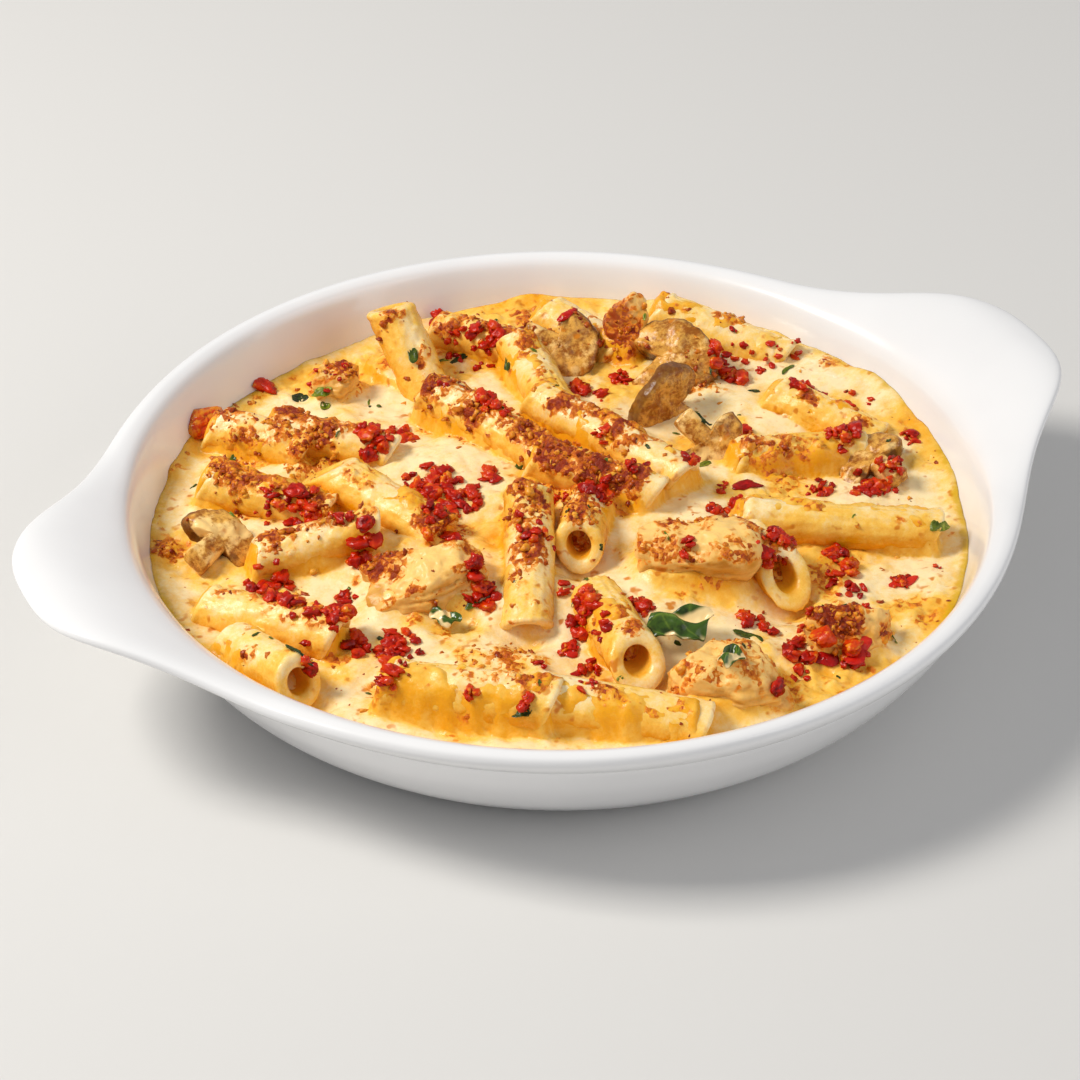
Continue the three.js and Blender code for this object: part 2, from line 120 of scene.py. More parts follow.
# Mushroom slices: x, y, z, cap, turn, tilt, roll and how creamy.
MUSHROOM = [
    (28, 58.5, 26.5, 10.5, 139, 16, -44, 0.3),
    (49.5, 42, 27, 11.5, -165, -34, -21, 0.15),
    (39.5, 26.5, 26.5, 10.5, 10, -49, 88, 0.05),
    (41.5, 8.5, 26, 9, 125, 36, -45, 0.35),
    (-73, 21, 23.5, 9.5, -150, -6, -30, 0.3),
    (73.5, -12, 23, 9, -70, -5, 20, 0.3),
]
SLICE_THICKNESS = 5

# Spinach: x, y, z, length, width, turn.
SPINACH = [
    (3, -53.5, 28.5, 15, 10, -10),
    (4, -74, 33.4, 7, 5, 40),
    (-39, -26, 24.5, 7, 5, -50),
]

# Red crumbs in clusters: x, y, reach, count and size.
RED_CRUMBS = [
    (-60, 68, 1, 2, 6), (-39, 81, 1, 2, 4.4), (10, 88, 1, 2, 4.6), (-28, 39, 4, 9, 3.2),
    (-19, 46, 4, 6, 2.6), (-52, 22, 4, 12, 3.2), (-59, 27, 3, 7, 2.4), (-49, 9, 3, 5, 2.6),
    (-47, 2, 3, 6, 3), (-68, 4, 5, 9, 3), (-69, -10, 4, 9, 3.2), (-66, -16, 4, 5, 2.4),
    (-54, -7, 3, 3, 2.8), (-61, -21, 4, 7, 3.2), (-60, -26, 4, 5, 2.6), (-51, -29, 5, 11, 3),
    (-59, -46, 3, 4, 3), (-69, -22, 2, 2, 2.2), (-73, -33, 1, 1, 3), (-47, -58, 1, 2, 3),
    (-38, -65, 1, 2, 2.8), (-22, 22, 6, 16, 3.2), (-19, 14, 6, 15, 3), (-28, 2, 5, 7, 2.6),
    (-9, 18, 2, 3, 3.4), (1, 35, 5, 12, 2.8), (-8, 46, 1, 1, 2.4), (13, 69, 4, 9, 3.4),
    (8, 74, 3, 5, 2.8), (27, 45.5, 3, 7, 3), (37, 45, 3, 6, 2.6), (29, 40, 2, 3, 2.4),
    (15, 13, 3, 4, 2.8), (17, -4, 3, 3, 2.6), (8, -6, 4, 8, 3), (1, 2, 3, 3, 2.4),
    (-13, -15, 5, 5, 2.4), (-29, -22, 4, 9, 3.2), (-12, -39, 4, 10, 3.4), (-12, -29, 2, 2, 2.2),
    (0, -41, 3, 6, 2.6), (-19, -44, 2, 3, 3), (-17, -52, 2, 3, 3), (-24, -66, 3, 4, 2.2),
    (-13, -49, 3, 4, 2.2), (-27, -48, 1, 1, 2.4), (60, 35, 4, 7, 3.2), (66, 42, 5, 5, 2),
    (71, 35, 4, 5, 2), (73, 18, 5, 8, 2.6), (79, 36, 2, 2, 2), (53, 12, 2, 2, 2.6),
    (31, -6, 2, 3, 2.8), (37, -6, 3, 3, 2), (33, -17, 4, 8, 2.6), (58, -14, 4, 6, 2),
    (67, -20, 3, 4, 2.2), (69, -5, 4, 10, 2.8), (72, -17, 5, 11, 3), (84, 12, 4, 3, 2.2),
    (86, -6, 3, 3, 2.4), (49, -40, 3, 6, 2.8), (51, -44, 3, 4, 2.4), (44, -45, 2, 3, 2.4),
    (46, -50, 4, 4, 2.6), (42, -63, 2, 3, 2.4), (58, -52, 3, 5, 2.6), (68, -50, 1, 1, 2.4),
    (21, -52, 3, 5, 2.4), (23, -56, 3, 3, 2.8), (26, -62, 3, 4, 3), (22, -66, 2, 3, 3),
    (27, -69, 2, 2, 3.6), (22, -72, 2, 2, 2.4), (11, -80, 1, 1, 3), (34, -73, 2, 3, 4.6),
    (29, -41, 3, 4, 2.2), (14, -36, 2, 2, 2.6), (-27, 71, 5, 5, 2.4), (35, -38, 3, 9, 2.6),
]

# Patches browned by the oven, beside the tops of the penne: x, y, reach and strength.
BROWNED = [
    (-10, 73, 4, 1), (-11, 48, 7, 0.9), (-4, 36, 9, 0.8), (18, 57, 3, 1), (2, 22, 8, 1),
    (-25, 71, 6, 0.9), (-54, 55, 7, 0.8), (-38, 46, 7, 1), (-45, 43, 6, 0.8), (-62, 34, 8, 0.9),
    (-12, -9, 6, 1), (-21, -28, 4, 0.8), (-21, -34, 3, 0.7), (-51, 20, 6, 0.8),
    (-46, -6, 6, 0.8), (-27, 2, 7, 0.9), (-33, -42, 8, 0.8), (-59, -38, 6, 0.6),
    (-84, 27, 5, 0.9), (41, 52, 6, 0.5), (14, 26, 9, 0.5), (20, 10, 9, 0.5), (3, 7, 8, 1),
    (9, 0, 8, 1), (12, -5, 6, 0.9), (-2, -14, 5, 0.8), (20, -24, 7, 0.9), (34, -38, 6, 0.9),
    (55, -5, 6, 0.6), (-9, -54, 4, 0.7), (10, -66, 5, 0.7), (-6, -70, 5, 0.8),
    (34, -66, 8, 0.9), (71, 10, 5, 0.5), (50, 37, 9, 0.8), (30, 62, 8, 0.7), (8, 78, 7, 0.7),
    (-66, -3, 6, 0.5), (-30, -66, 6, 0.4), (-83, -22, 4, 0.5), (62, 62, 5, 0.4),
]

# Soft red pepper: x, y, length, width and turn.
PEPPER = [
    (31, 61.5, 6, 2.4, 10), (35, -72.2, 8, 6.5, 30), (28.5, -70, 6, 3.4, -30),
    (58.5, -52, 6.5, 2.6, 5), (42.5, -8.5, 8, 2.4, -10), (-18.5, -45, 4.5, 3, -20),
    (-12, -39.5, 6, 4.5, 40), (-19, -51.5, 5, 2.6, 10),
]

# Green herbs: x, y, length, width and turn.
HERBS = [
    (-7.6, 65.3, 6, 2.4, 70), (3, 72.5, 8, 1.6, 5), (7.5, 72, 5, 1.6, 15), (-29.5, 67.5, 5, 3, 20),
    (-33.5, 73, 4.5, 3.2, -10), (-30, 65.5, 3.5, 2, 60), (13, 56.6, 4.5, 1.4, 60),
    (17.5, -57.5, 6, 3, -60),
    (-31.5, -24, 3.4, 2, 20), (-74, -30, 8, 1.3, -70), (71.5, -44, 5, 2.4, 10),
    (41, 11, 7, 2.2, -75), (38, 3, 4, 2, 10), (-39, -66, 4, 2, -20), (-57, 55, 3, 1.6, 20),
    (74, 30, 4, 1.6, 30), (63, 26, 3, 1.4, -20),
]

# The pieces that loose crumbs and herbs can lie on.
FOOD_PIECES = (
    ["cream_sauce_bed", "baked_penne"]
    + [f"chicken_chunk_{i + 1}" for i in range(len(CHICKEN))]
    + [f"mushroom_slice_{i + 1}" for i in range(len(MUSHROOM))]
)

# The mound, the pool of sauce round it, and how far both are banked up, towards which side.
POOL_LEVEL, MOUND_RADIUS, MOUND_TOP, MOUND_EDGE = 20.9, 72, 24, 19
MOUND_BANK, MOUND_BANK_ANGLE = 5, radians(37)

# The bed of sauce: how much higher than the mound it stands round the penne, how steeply its
# film falls beside them, how wide its creases are filled, and the hollow before an open end.
BED_RISE, FILM_FALL, CREASE = 1.4, 6, 2.4
HOLLOW_DEPTH, HOLLOW_LENGTH, HOLLOW_HALF_WIDTH = 3.6, 4.5, 5.5

# How high the food may reach, and the radius near which the sauce meets the wall.
FOOD_TOP, SAUCE_EDGE_RADIUS = 38, 90.5

# The grain of the browned crust, and the map of the food's heights: its cell and its reach.
CRUST_GRAIN = 1.1
MAP_CELL, MAP_REACH = 0.7, 100

# The camera that the dish's rim gives, for a square frame: its place, its heading on the
# floor, how far down it looks, and its lens.
CAMERA_PLACE, CAMERA_HEADING, CAMERA_DROP = (-251.8, -531.8, 427.7), (0.4214, 0.9069), 34.96
CAMERA_LENS = 106.84


# ---- Colours ----


def linear(code):
    """An sRGB hex colour as linear red, green and blue."""
    parts = np.array([int(code[i : i + 2], 16) for i in (0, 2, 4)]) / 255
    return tuple(np.where(parts <= 0.04045, parts / 12.92, ((parts + 0.055) / 1.055) ** 2.4))


def opaque(colour):
    """A hex colour or a linear one as linear red, green and blue and an alpha of 1."""
    return (*(linear(colour) if isinstance(colour, str) else colour), 1)


def colour_setting(name, code, description):
    """A colour that the user can change."""
    return bpy.props.FloatVectorProperty(
        name=name, description=description, default=linear(code), subtype="COLOR", min=0, max=1
    )


# ---- Numbers on whole arrays ----


def lattice_noise(points, size, seed):
    """Random numbers on a cubic lattice with cells of the given size, from -1 to 1, joined
    between the corners by the easing f*f*(3-2f)."""
    table = np.random.default_rng(seed).uniform(-1, 1, (24, 24, 24))
    scaled = points / size
    cell = np.floor(scaled).astype(int)
    part = scaled - cell
    part = part * part * (3 - 2 * part)
    total = np.zeros(points.shape[:-1])
    for corner in product((0, 1), repeat=3):
        i, j, k = np.moveaxis((cell + corner) % 24, -1, 0)
        total += table[i, j, k] * np.where(corner, part, 1 - part).prod(-1)
    return total


def cloud(points, size, seed, layers=3):
    """Lattice noise in layers, each half the size and strength of the one before."""
    shares = 0.5 ** np.arange(layers)
    parts = [
        share * lattice_noise(points, size * share, seed + n) for n, share in enumerate(shares)
    ]
    return 1.6 * sum(parts) / shares.sum()


def flat_cloud(x, y, size, seed, layers=3):
    """Cloud noise on the plane."""
    return cloud(np.stack([x, y, np.full_like(x, 0.37 * size)], -1), size, seed, layers)


def step(low, high, value):
    """0 below low, 1 above high, and eased between them."""
    part = np.clip((value - low) / (high - low), 0, 1)
    return part * part * (3 - 2 * part)


def higher(a, b, blend):
    """The higher of two surfaces, with the crease between them filled over a width blend."""
    near = np.maximum(blend - np.abs(a - b), 0) / blend
    return np.maximum(a, b) + near * near * blend / 4


def turned(points, turn=0, tilt=0, roll=0):
    """Points rolled about X, their +X end tilted up, then turned about Z, in degrees."""
    (cz, cy, cx), (sz, sy, sx) = [
        [f(radians(a)) for a in (turn, -tilt, roll)] for f in (np.cos, np.sin)
    ]
    about_z = np.array([[cz, -sz, 0], [sz, cz, 0], [0, 0, 1]])
    about_y = np.array([[cy, 0, sy], [0, 1, 0], [-sy, 0, cy]])
    about_x = np.array([[1, 0, 0], [0, cx, -sx], [0, sx, cx]])
    return points @ (about_z @ about_y @ about_x).T


def random_stream(seed):
    """The same repeatable random numbers from 0 to 1 as the part's source draws."""
    state, mask = seed, 0xFFFFFFFF
    while True:
        state = (state + 0x6D2B79F5) & mask
        t = ((state ^ (state >> 15)) * (1 | state)) & mask
        t = ((t + (((t ^ (t >> 7)) * (61 | t)) & mask)) & mask) ^ t
        yield ((t ^ (t >> 14)) & mask) / 4294967296


def smooth_rows(rows, steps):
    """A Catmull-Rom curve through rows of numbers, with the given steps between rows."""
    rows = np.array(rows, float)
    padded = np.vstack([2 * rows[0] - rows[1], rows, 2 * rows[-1] - rows[-2]])
    t = np.linspace(0, 1, steps, endpoint=False)[:, None]
    spans = []
    for a, b, c, d in zip(padded, padded[1:], padded[2:], padded[3:]):
        bend = 2 * a - 5 * b + 4 * c - d
        spans.append(b + 0.5 * t * (c - a + t * (bend + t * (3 * (b - c) + d - a))))
    return np.vstack([*spans, rows[-1:]])


# ---- Meshes ----


def grid_faces(rows, columns, closed=True, start=0):
    """Quads of a grid of points, row by row; a closed grid's last column meets its first."""
    across = columns if closed else columns - 1
    i, j = np.meshgrid(np.arange(rows - 1), np.arange(across), indexing="ij")
    near, far = i * columns + j, i * columns + (j + 1) % columns
    return start + np.stack([near, far, far + columns, near + columns], -1).reshape(-1, 4)


def cap_faces(ring_start, columns, pole, flip=False):
    """Triangles from one ring of a closed grid to a pole."""
    j = np.arange(columns)
    pair = [ring_start + j, ring_start + (j + 1) % columns]
    return np.stack([*(pair[::-1] if flip else pair), np.full(columns, pole)], -1)


def grid_border(rows, columns):
    """The points along the edge of an open grid, in order."""
    last = (rows - 1) * columns
    return np.concatenate([
        np.arange(rows) * columns, last + np.arange(1, columns),
        np.arange(rows - 2, -1, -1) * columns + columns - 1, np.arange(columns - 2, 0, -1),
    ])


def ball_points(rows, columns):
    """A ball of radius 1: rings from the top down, (sin p cos a, sin p sin a, cos p), then the
    top and the bottom pole."""
    polar = np.linspace(0, pi, rows + 2)[1:-1, None]
    around = np.linspace(0, 2 * pi, columns, endpoint=False)[None]
    ball = np.stack([np.sin(polar) * np.cos(around), np.sin(polar) * np.sin(around),
                     np.cos(polar) + 0 * around], -1).reshape(-1, 3)
    return np.vstack([ball, [[0, 0, 1], [0, 0, -1]]])


def ball_faces(rows, columns):
    """The quads of such a ball, and the triangles to its top and to its bottom pole."""
    total = rows * columns
    return [grid_faces(rows, columns)[:, ::-1], cap_faces(0, columns, total),
            cap_faces(total - columns, columns, total + 1, flip=True)]


def joined(parts):
    """Several (points, faces, attributes) joined into one."""
    starts = np.cumsum([0] + [len(part[0]) for part in parts[:-1]])
    points = np.vstack([part[0] for part in parts])
    faces = [face + start for part, start in zip(parts, starts) for face in part[1]]
    marks = {
        name: np.concatenate([part[2][name] for part in parts]) for name in parts[0][2]
    }
    return points, faces, marks


def add_piece(name, points, faces, material, slot, nodes=(), marks=None):
    """Makes a smooth mesh object from points in millimetres and arrays of faces, with its
    marks as attributes of the points, and lets it ride on the dish."""
    old = bpy.data.objects.get(name)
    if old is not None:
        bpy.data.objects.remove(old, do_unlink=True)
    mesh = bpy.data.meshes.new(name)
    corners = np.concatenate([face.ravel() for face in faces])
    sizes = np.concatenate([np.full(len(face), face.shape[1]) for face in faces])
    mesh.vertices.add(len(points))
    mesh.loops.add(len(corners))
    mesh.polygons.add(len(sizes))
    mesh.vertices.foreach_set("co", (np.asarray(points) * MM).astype(np.float32).ravel())
    mesh.loops.foreach_set("vertex_index", corners.astype(np.int32))
    mesh.polygons.foreach_set(
        "loop_start", (np.cumsum(sizes) - sizes).astype(np.int32)
    )
    mesh.polygons.foreach_set("use_smooth", np.ones(len(sizes), bool))
    for mark, values in (marks or {}).items():
        layer = mesh.attributes.new(mark, "FLOAT", "POINT")
        layer.data.foreach_set("value", np.asarray(values, np.float32))
    mesh.update(calc_edges=True)
    if mesh.validate():
        raise RuntimeError(f"{name} has faults in its mesh")
    mesh.materials.append(material)
    piece = bpy.data.objects.new(name, mesh)
    bpy.context.scene.collection.objects.link(piece)
    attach(piece, "root")
    if nodes:
        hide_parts(*nodes)
    return piece


# ---- Materials ----


def new_material(name, values):
    """A material with a Principled BSDF whose inputs have the given values, as (material,
    tree, shader)."""
    old = bpy.data.materials.get(name)
    if old is not None:
        bpy.data.materials.remove(old)
    material = bpy.data.materials.new(name)
    material.use_nodes = True
    shader = material.node_tree.nodes["Principled BSDF"]
    for key, value in values.items():
        shader.inputs[key].default_value = value
    return material, material.node_tree, shader


def inside_light(share, radius, reach):
    """The shader values for light that spreads inside a food, by up to reach millimetres."""
    return {"Subsurface Weight": share, "Subsurface Radius": radius,
            "Subsurface Scale": reach * MM}


def add_node(tree, kind, settings=None, links=None):
    """Adds a node, sets its own properties and its input values, and links its inputs."""
    node = tree.nodes.new(kind)
    for key, value in (settings or {}).items():
        if isinstance(key, str) and hasattr(node, key):
            setattr(node, key, value)
        else:
            node.inputs[key].default_value = value
    for key, source in (links or {}).items():
        tree.links.new(source, node.inputs[key])
    return node


def feed(tree, socket, value):
    """Gives a socket an output, a number or a colour."""
    if isinstance(value, bpy.types.NodeSocket):
        tree.links.new(value, socket)
    else:
        socket.default_value = value if isinstance(value, (int, float)) else opaque(value)


def toned(tree, level, stops):
    """A colour by a level, from a ramp of stops, as (position, colour)."""
    node = add_node(tree, "ShaderNodeValToRGB", links={"Fac": level})
    elements = node.color_ramp.elements
    while len(elements) < len(stops):
        elements.new(0.5)
    for element, (position, colour) in zip(elements, stops):
        element.position, element.color = position, opaque(colour)
    return node.outputs["Color"]


def mottle(tree, size, detail=3.0, roughness=0.6):
    """Noise in object space with lumps of the given size in millimetres."""
    place = add_node(tree, "ShaderNodeTexCoord")
    return add_node(
        tree,
        "ShaderNodeTexNoise",
        {"Scale": 1 / (size * MM), "Detail": detail, "Roughness": roughness},
        {"Vector": place.outputs["Object"]},
    ).outputs["Fac"]


def mark_value(tree, name):
    """A mark of the piece, stored as an attribute of its points."""
    return add_node(
        tree, "ShaderNodeAttribute", {"attribute_type": "GEOMETRY", "attribute_name": name}
    ).outputs["Fac"]


def blend_colours(tree, share, a, b):
    """Mixes two colours, each an output, a hex colour or a linear one, by a share."""
    node = add_node(tree, "ShaderNodeMix", {"data_type": "RGBA"})
    for place, value in ((0, share), (6, a), (7, b)):
        feed(tree, node.inputs[place], value)
    return node.outputs[2]


def work_out(tree, operation, *values, clamp=False):
    """One Math node; each value is an output or a number."""
    node = add_node(tree, "ShaderNodeMath", {"operation": operation, "use_clamp": clamp})
    for socket, value in zip(node.inputs, values):
        feed(tree, socket, value)
    return node.outputs[0]


def varied(tree, value, noise, amount, clamp=True):
    """A value pushed up and down by a noise around 0.5, times an amount."""
    push = work_out(tree, "MULTIPLY", work_out(tree, "SUBTRACT", noise, 0.5), amount)
    return work_out(tree, "ADD", value, push, clamp=clamp)


def rescaled(tree, value, low, high, new_low=0.0, new_high=1.0):
    """Maps a value from low..high to new_low..new_high, eased and held at both ends."""
    return add_node(
        tree,
        "ShaderNodeMapRange",
        {
            "interpolation_type": "SMOOTHSTEP",
            "From Min": low, "From Max": high, "To Min": new_low, "To Max": new_high,
        },
        {"Value": value},
    ).outputs["Result"]


def grains(tree, size):
    """Cells of the given size in mm in object space, as (distance from the middle, tone)."""
    place = add_node(tree, "ShaderNodeTexCoord")
    cells = add_node(
        tree, "ShaderNodeTexVoronoi", {"Scale": 1 / (size * MM), "Randomness": 1.0},
        {"Vector": place.outputs["Object"]},
    )
    tone = add_node(tree, "ShaderNodeSeparateColor", links={"Color": cells.outputs["Color"]})
    return cells.outputs["Distance"], tone.outputs["Red"]


def browning(tree, base):
    """Lays the oven's browning over a base colour: the toast mark, broken up into grains of
    about 1 mm that each have their own tone, goes from gold through orange brown to dark brown
    at its peaks. Small orange specks lie loosely over the rest. Returns the colour and the
    level of browning."""
    _, tone = grains(tree, CRUST_GRAIN)
    speckle = mottle(tree, 0.9, 3.0, 0.7)
    patches = mottle(tree, 4.0, 2.0)
    toast = mark_value(tree, "toast")
    uneven = 0
    for noise, amount in ((tone, 0.7), (speckle, 1.0), (patches, 0.6)):
        uneven = varied(tree, uneven, noise, amount, clamp=False)
    level = work_out(tree, "ADD", toast, work_out(tree, "MULTIPLY", uneven, rescaled(
        tree, toast, 0.0, 0.25)))
    brown = toned(tree, level, [
        (0.05, "F7B03C"), (0.3, "E88A1A"), (0.52, "D06A08"), (0.76, "AC4203"), (1.0, "8C2602"),
    ])
    specks = work_out(
        tree, "MULTIPLY",
        rescaled(tree, mottle(tree, 2.4, 1.0, 0.5), 0.6, 0.74),
        rescaled(tree, mottle(tree, 14.0, 2.0), 0.42, 0.58),
    )
    spotted = blend_colours(tree, work_out(tree, "MULTIPLY", specks, 0.9), base, "D07A10")
    return blend_colours(tree, rescaled(tree, level, 0.03, 0.34), spotted, brown), level


def food_tones(tree, noise, cream, gold):
    """Cream, butter and gold, by the gold mark varied by a noise; that mark also carries painted
    shade on the sauce's slopes and hollows and on the penne's undersides.
    """
    share = varied(tree, mark_value(tree, "gold"), noise, 1.4)
    return toned(tree, share, [(0.0, cream), (0.5, "F9C758"), (1.0, gold)])


def baked_bumps(tree, level, shader):
    """Fine relief: a grain of about 1 mm all over, and crisp blisters where it is browned."""
    fine = add_node(
        tree, "ShaderNodeBump", {"Strength": 0.5, "Distance": 0.35 * MM},
        {"Height": mottle(tree, 1.3, 4.0, 0.65)},
    )
    cell, _ = grains(tree, CRUST_GRAIN)
    blisters = add_node(
        tree, "ShaderNodeBump", {"Distance": 0.5 * MM, "invert": True},
        {
            "Height": work_out(tree, "ADD", cell, mottle(tree, 0.7, 3.0, 0.8)),
            "Strength": rescaled(tree, level, 0.05, 0.5, 0.04, 0.9),
            "Normal": fine.outputs["Normal"],
        },
    )
    tree.links.new(blisters.outputs["Normal"], shader.inputs["Normal"])


def cream_material(settings):
    """Baked cream sauce, thickened with cheese: opaque and pale with a soft wet gloss, deeper
    yellow where it clings to slopes, partly as painted shade, and in its hollows as painted
    shade, clear yellow-green fat at the edge, browned on top."""
    material, tree, shader = new_material("baked_cream_sauce", {
        "IOR": 1.46, "Specular IOR Level": 0.32, **inside_light(0.12, (1.0, 0.75, 0.4), 1.5)})
    base = food_tones(
        tree, mottle(tree, 3.0, 7.0, 0.75), settings.cream_colour, settings.golden_colour)
    base, level = browning(tree, base)
    oil = mark_value(tree, "oil")
    greasy = varied(tree, oil, mottle(tree, 3.0, 3.0), 1.0, clamp=False)
    base = blend_colours(tree, rescaled(tree, greasy, 0.3, 1.1, 0.0, 0.8), base, "D2A70E")
    tree.links.new(base, shader.inputs["Base Color"])
    rough = rescaled(tree, level, 0.1, 0.6, 0.24, 0.34)
    tree.links.new(
        work_out(tree, "SUBTRACT", rough, work_out(tree, "MULTIPLY", oil, 0.12)),
        shader.inputs["Roughness"],
    )
    baked_bumps(tree, level, shader)
    return material


def pasta_material(settings):
    """Boiled durum pasta under a coat of sauce: smooth, translucent and deep yellow where it
    shows, paler where the coat is thick, browned and dry on top, and deeper yellow on its
    undersides, partly as painted shade."""
    material, tree, shader = new_material("boiled_durum_pasta", {
        "IOR": 1.47, "Specular IOR Level": 0.32, **inside_light(0.15, (1.0, 0.7, 0.3), 1.8)})
    base = food_tones(
        tree, mottle(tree, 2.2, 7.0, 0.78), settings.cream_colour, settings.pasta_colour)
    base = blend_colours(tree, mark_value(tree, "bore"), base, "F0A428")
    base, level = browning(tree, base)
    tree.links.new(base, shader.inputs["Base Color"])
    tree.links.new(rescaled(tree, level, 0.1, 0.6, 0.24, 0.34), shader.inputs["Roughness"])
    baked_bumps(tree, level, shader)
    return material


def chicken_material(settings):
    """Roast chicken breast: moist golden tan flesh, paler along its fibres, with cream clinging
    to its tops, a stripe of red rind where that is marked, and edges browned by the oven."""
    material, tree, shader = new_material("roast_chicken_breast", {
        "Roughness": 0.3, "IOR": 1.45, "Specular IOR Level": 0.32,
        **inside_light(0.12, (1.0, 0.6, 0.35), 1.5)})
    fibre = work_out(tree, "MULTIPLY", mark_value(tree, "fibre"), 0.5)
    pale = work_out(tree, "ADD", fibre, mottle(tree, 3.0, 4.0), clamp=True)
    flesh = blend_colours(tree, pale, settings.chicken_colour, "F3C16A")
    coat = varied(tree, mark_value(tree, "coat"), mottle(tree, 2.5, 4.0), 0.9)
    base = blend_colours(tree, rescaled(tree, coat, 0.3, 0.7), flesh, "FACC78")
    base = blend_colours(tree, mark_value(tree, "rind"), base, "A6260A")
    base, level = browning(tree, base)
    tree.links.new(base, shader.inputs["Base Color"])
    baked_bumps(tree, level, shader)
    return material


def mushroom_material(settings):
    """Fried mushroom: golden brown flesh with fine darker grain, dark gills in the crook, a
    deep brown skin round the cap, cream run over parts of it and a wet shine."""
    material, tree, shader = new_material("fried_mushroom", {
        "Roughness": 0.24, "IOR": 1.42, "Specular IOR Level": 0.4})
    pale = work_out(tree, "ADD", mottle(tree, 1.5, 5.0, 0.75), work_out(
        tree, "MULTIPLY", mottle(tree, 5.0, 2.0), 0.6))
    flesh = blend_colours(
        tree, rescaled(tree, pale, 0.62, 0.98), settings.mushroom_colour, "EAB050")
    base = blend_colours(tree, mark_value(tree, "skin"), flesh, "5E3008")
    coat = varied(tree, mark_value(tree, "coat"), mottle(tree, 3.0, 4.0), 0.9)
    base = blend_colours(tree, rescaled(tree, coat, 0.42, 0.62), base, "F7CE82")
    base, level = browning(tree, base)
    tree.links.new(base, shader.inputs["Base Color"])
    baked_bumps(tree, level, shader)
    return material


def crumb_material(name, stops, roughness):
    """Small scraps, crisp or moist by their roughness: each has its own tone, from a mark; on
    crumbs and grains that mark is darker in their creases, as painted shade, and lighter where
    they bulge."""
    material, tree, shader = new_material(name, {
        "Roughness": roughness, "IOR": 1.45, "Specular IOR Level": 0.35})
    shade = varied(tree, mark_value(tree, "shade"), mottle(tree, 1.1, 3.0), 0.9)
    tree.links.new(toned(tree, shade, stops), shader.inputs["Base Color"])
    bumps = add_node(
        tree, "ShaderNodeBump", {"Distance": 0.35 * MM, "Strength": 0.5},
        {"Height": mottle(tree, 0.8, 3.0, 0.7)},
    )
    tree.links.new(bumps.outputs["Normal"], shader.inputs["Normal"])
    return material


def leaf_material(settings):
    """Wilted spinach: dark glossy green with paler veins, and cream run over parts of it."""
    material, tree, shader = new_material("wilted_spinach", {"Roughness": 0.22, "IOR": 1.45})
    vein = work_out(tree, "MULTIPLY", mark_value(tree, "vein"), 0.6)
    base = blend_colours(tree, vein, settings.spinach_colour, "7F9A34")
    base = blend_colours(
        tree, rescaled(tree, mottle(tree, 3.0, 3.0), 0.45, 0.7, 0.0, 0.8), base, "141F06"
    )
    base = blend_colours(tree, rescaled(tree, mark_value(tree, "coat"), 0.4, 0.6), base, "F3D79C")
    tree.links.new(base, shader.inputs["Base Color"])
    return material


def glaze_material():
    """Glazed white stoneware: a smooth glossy glaze over a white body, very slightly uneven
    over 14 to 30 mm from the glaze's flow."""
    material, tree, shader = new_material("glazed_white_stoneware", {
        "IOR": 1.52, "Coat Weight": 0.5, "Coat Roughness": 0.08})
    tint = blend_colours(tree, rescaled(tree, mottle(tree, 30.0, 2.0), 0.3, 0.7),
                         "EFEFF0", "EBEBEC")
    tree.links.new(tint, shader.inputs["Base Color"])
    tree.links.new(
        rescaled(tree, mottle(tree, 18.0, 3.0), 0.3, 0.7, 0.2, 0.27), shader.inputs["Roughness"]
    )
    flow = add_node(
        tree, "ShaderNodeBump", {"Distance": 0.25 * MM, "Strength": 0.25},
        {"Height": mottle(tree, 14.0, 2.0)},
    )
    tree.links.new(flow.outputs["Normal"], shader.inputs["Normal"])
    return material


# ---- The food's shape ----


def wall_radius(height):
    """The radius of the dish's inside wall at a height."""
    rows = np.array(INSIDE)[::-1]
    return np.interp(height, rows[:, 1], rows[:, 0])


def floor_height(radius):
    """The height of the dish's inside at a radius."""
    rows = np.array(INSIDE)[::-1]
    return np.interp(radius, rows[:, 0], rows[:, 1])


def mound_surface(x, y):
    """The lumpy mound of the part's source, easing into the level pool at its outline, which
    waves in and out by a few millimetres; both are banked up at the far right."""
    radius, angle = np.hypot(x, y), np.arctan2(y, x)
    outline = (MOUND_RADIUS + 6.5 * np.sin(2 * angle + 0.4) + 2 * np.sin(5 * angle)
               + 1.5 * np.cos(9 * angle + 1))
    along = x * np.cos(MOUND_BANK_ANGLE) + y * np.sin(MOUND_BANK_ANGLE)
    bank = MOUND_BANK * step(0.6 * MOUND_RADIUS, 82, along)
    fall = np.minimum(1, radius / MOUND_RADIUS) ** 2
    bumps = np.sin(x / 6.5 + 1) * np.cos(y / 7.5) + 0.6 * np.sin((x + y) / 9)
    mound = MOUND_TOP + (MOUND_EDGE - MOUND_TOP) * fall + bank + bumps
    pool = POOL_LEVEL + 0.75 * bank + 0.25 * flat_cloud(x, y, 16, 5)
    return mound + (pool - mound) * step(outline - 9, outline + 2, radius)


def along_penne(x, y, row):
    """How far (x, y) is along a penne's axis and beside it, and the axis's height there."""
    px, py, pz, turn, tilt, *_ = row
    ux, uy = np.cos(radians(turn)), np.sin(radians(turn))
    along = ((x - px) * ux + (y - py) * uy) / np.cos(radians(tilt))
    beside = (y - py) * ux - (x - px) * uy
    return along, beside, pz + along * np.sin(radians(tilt))


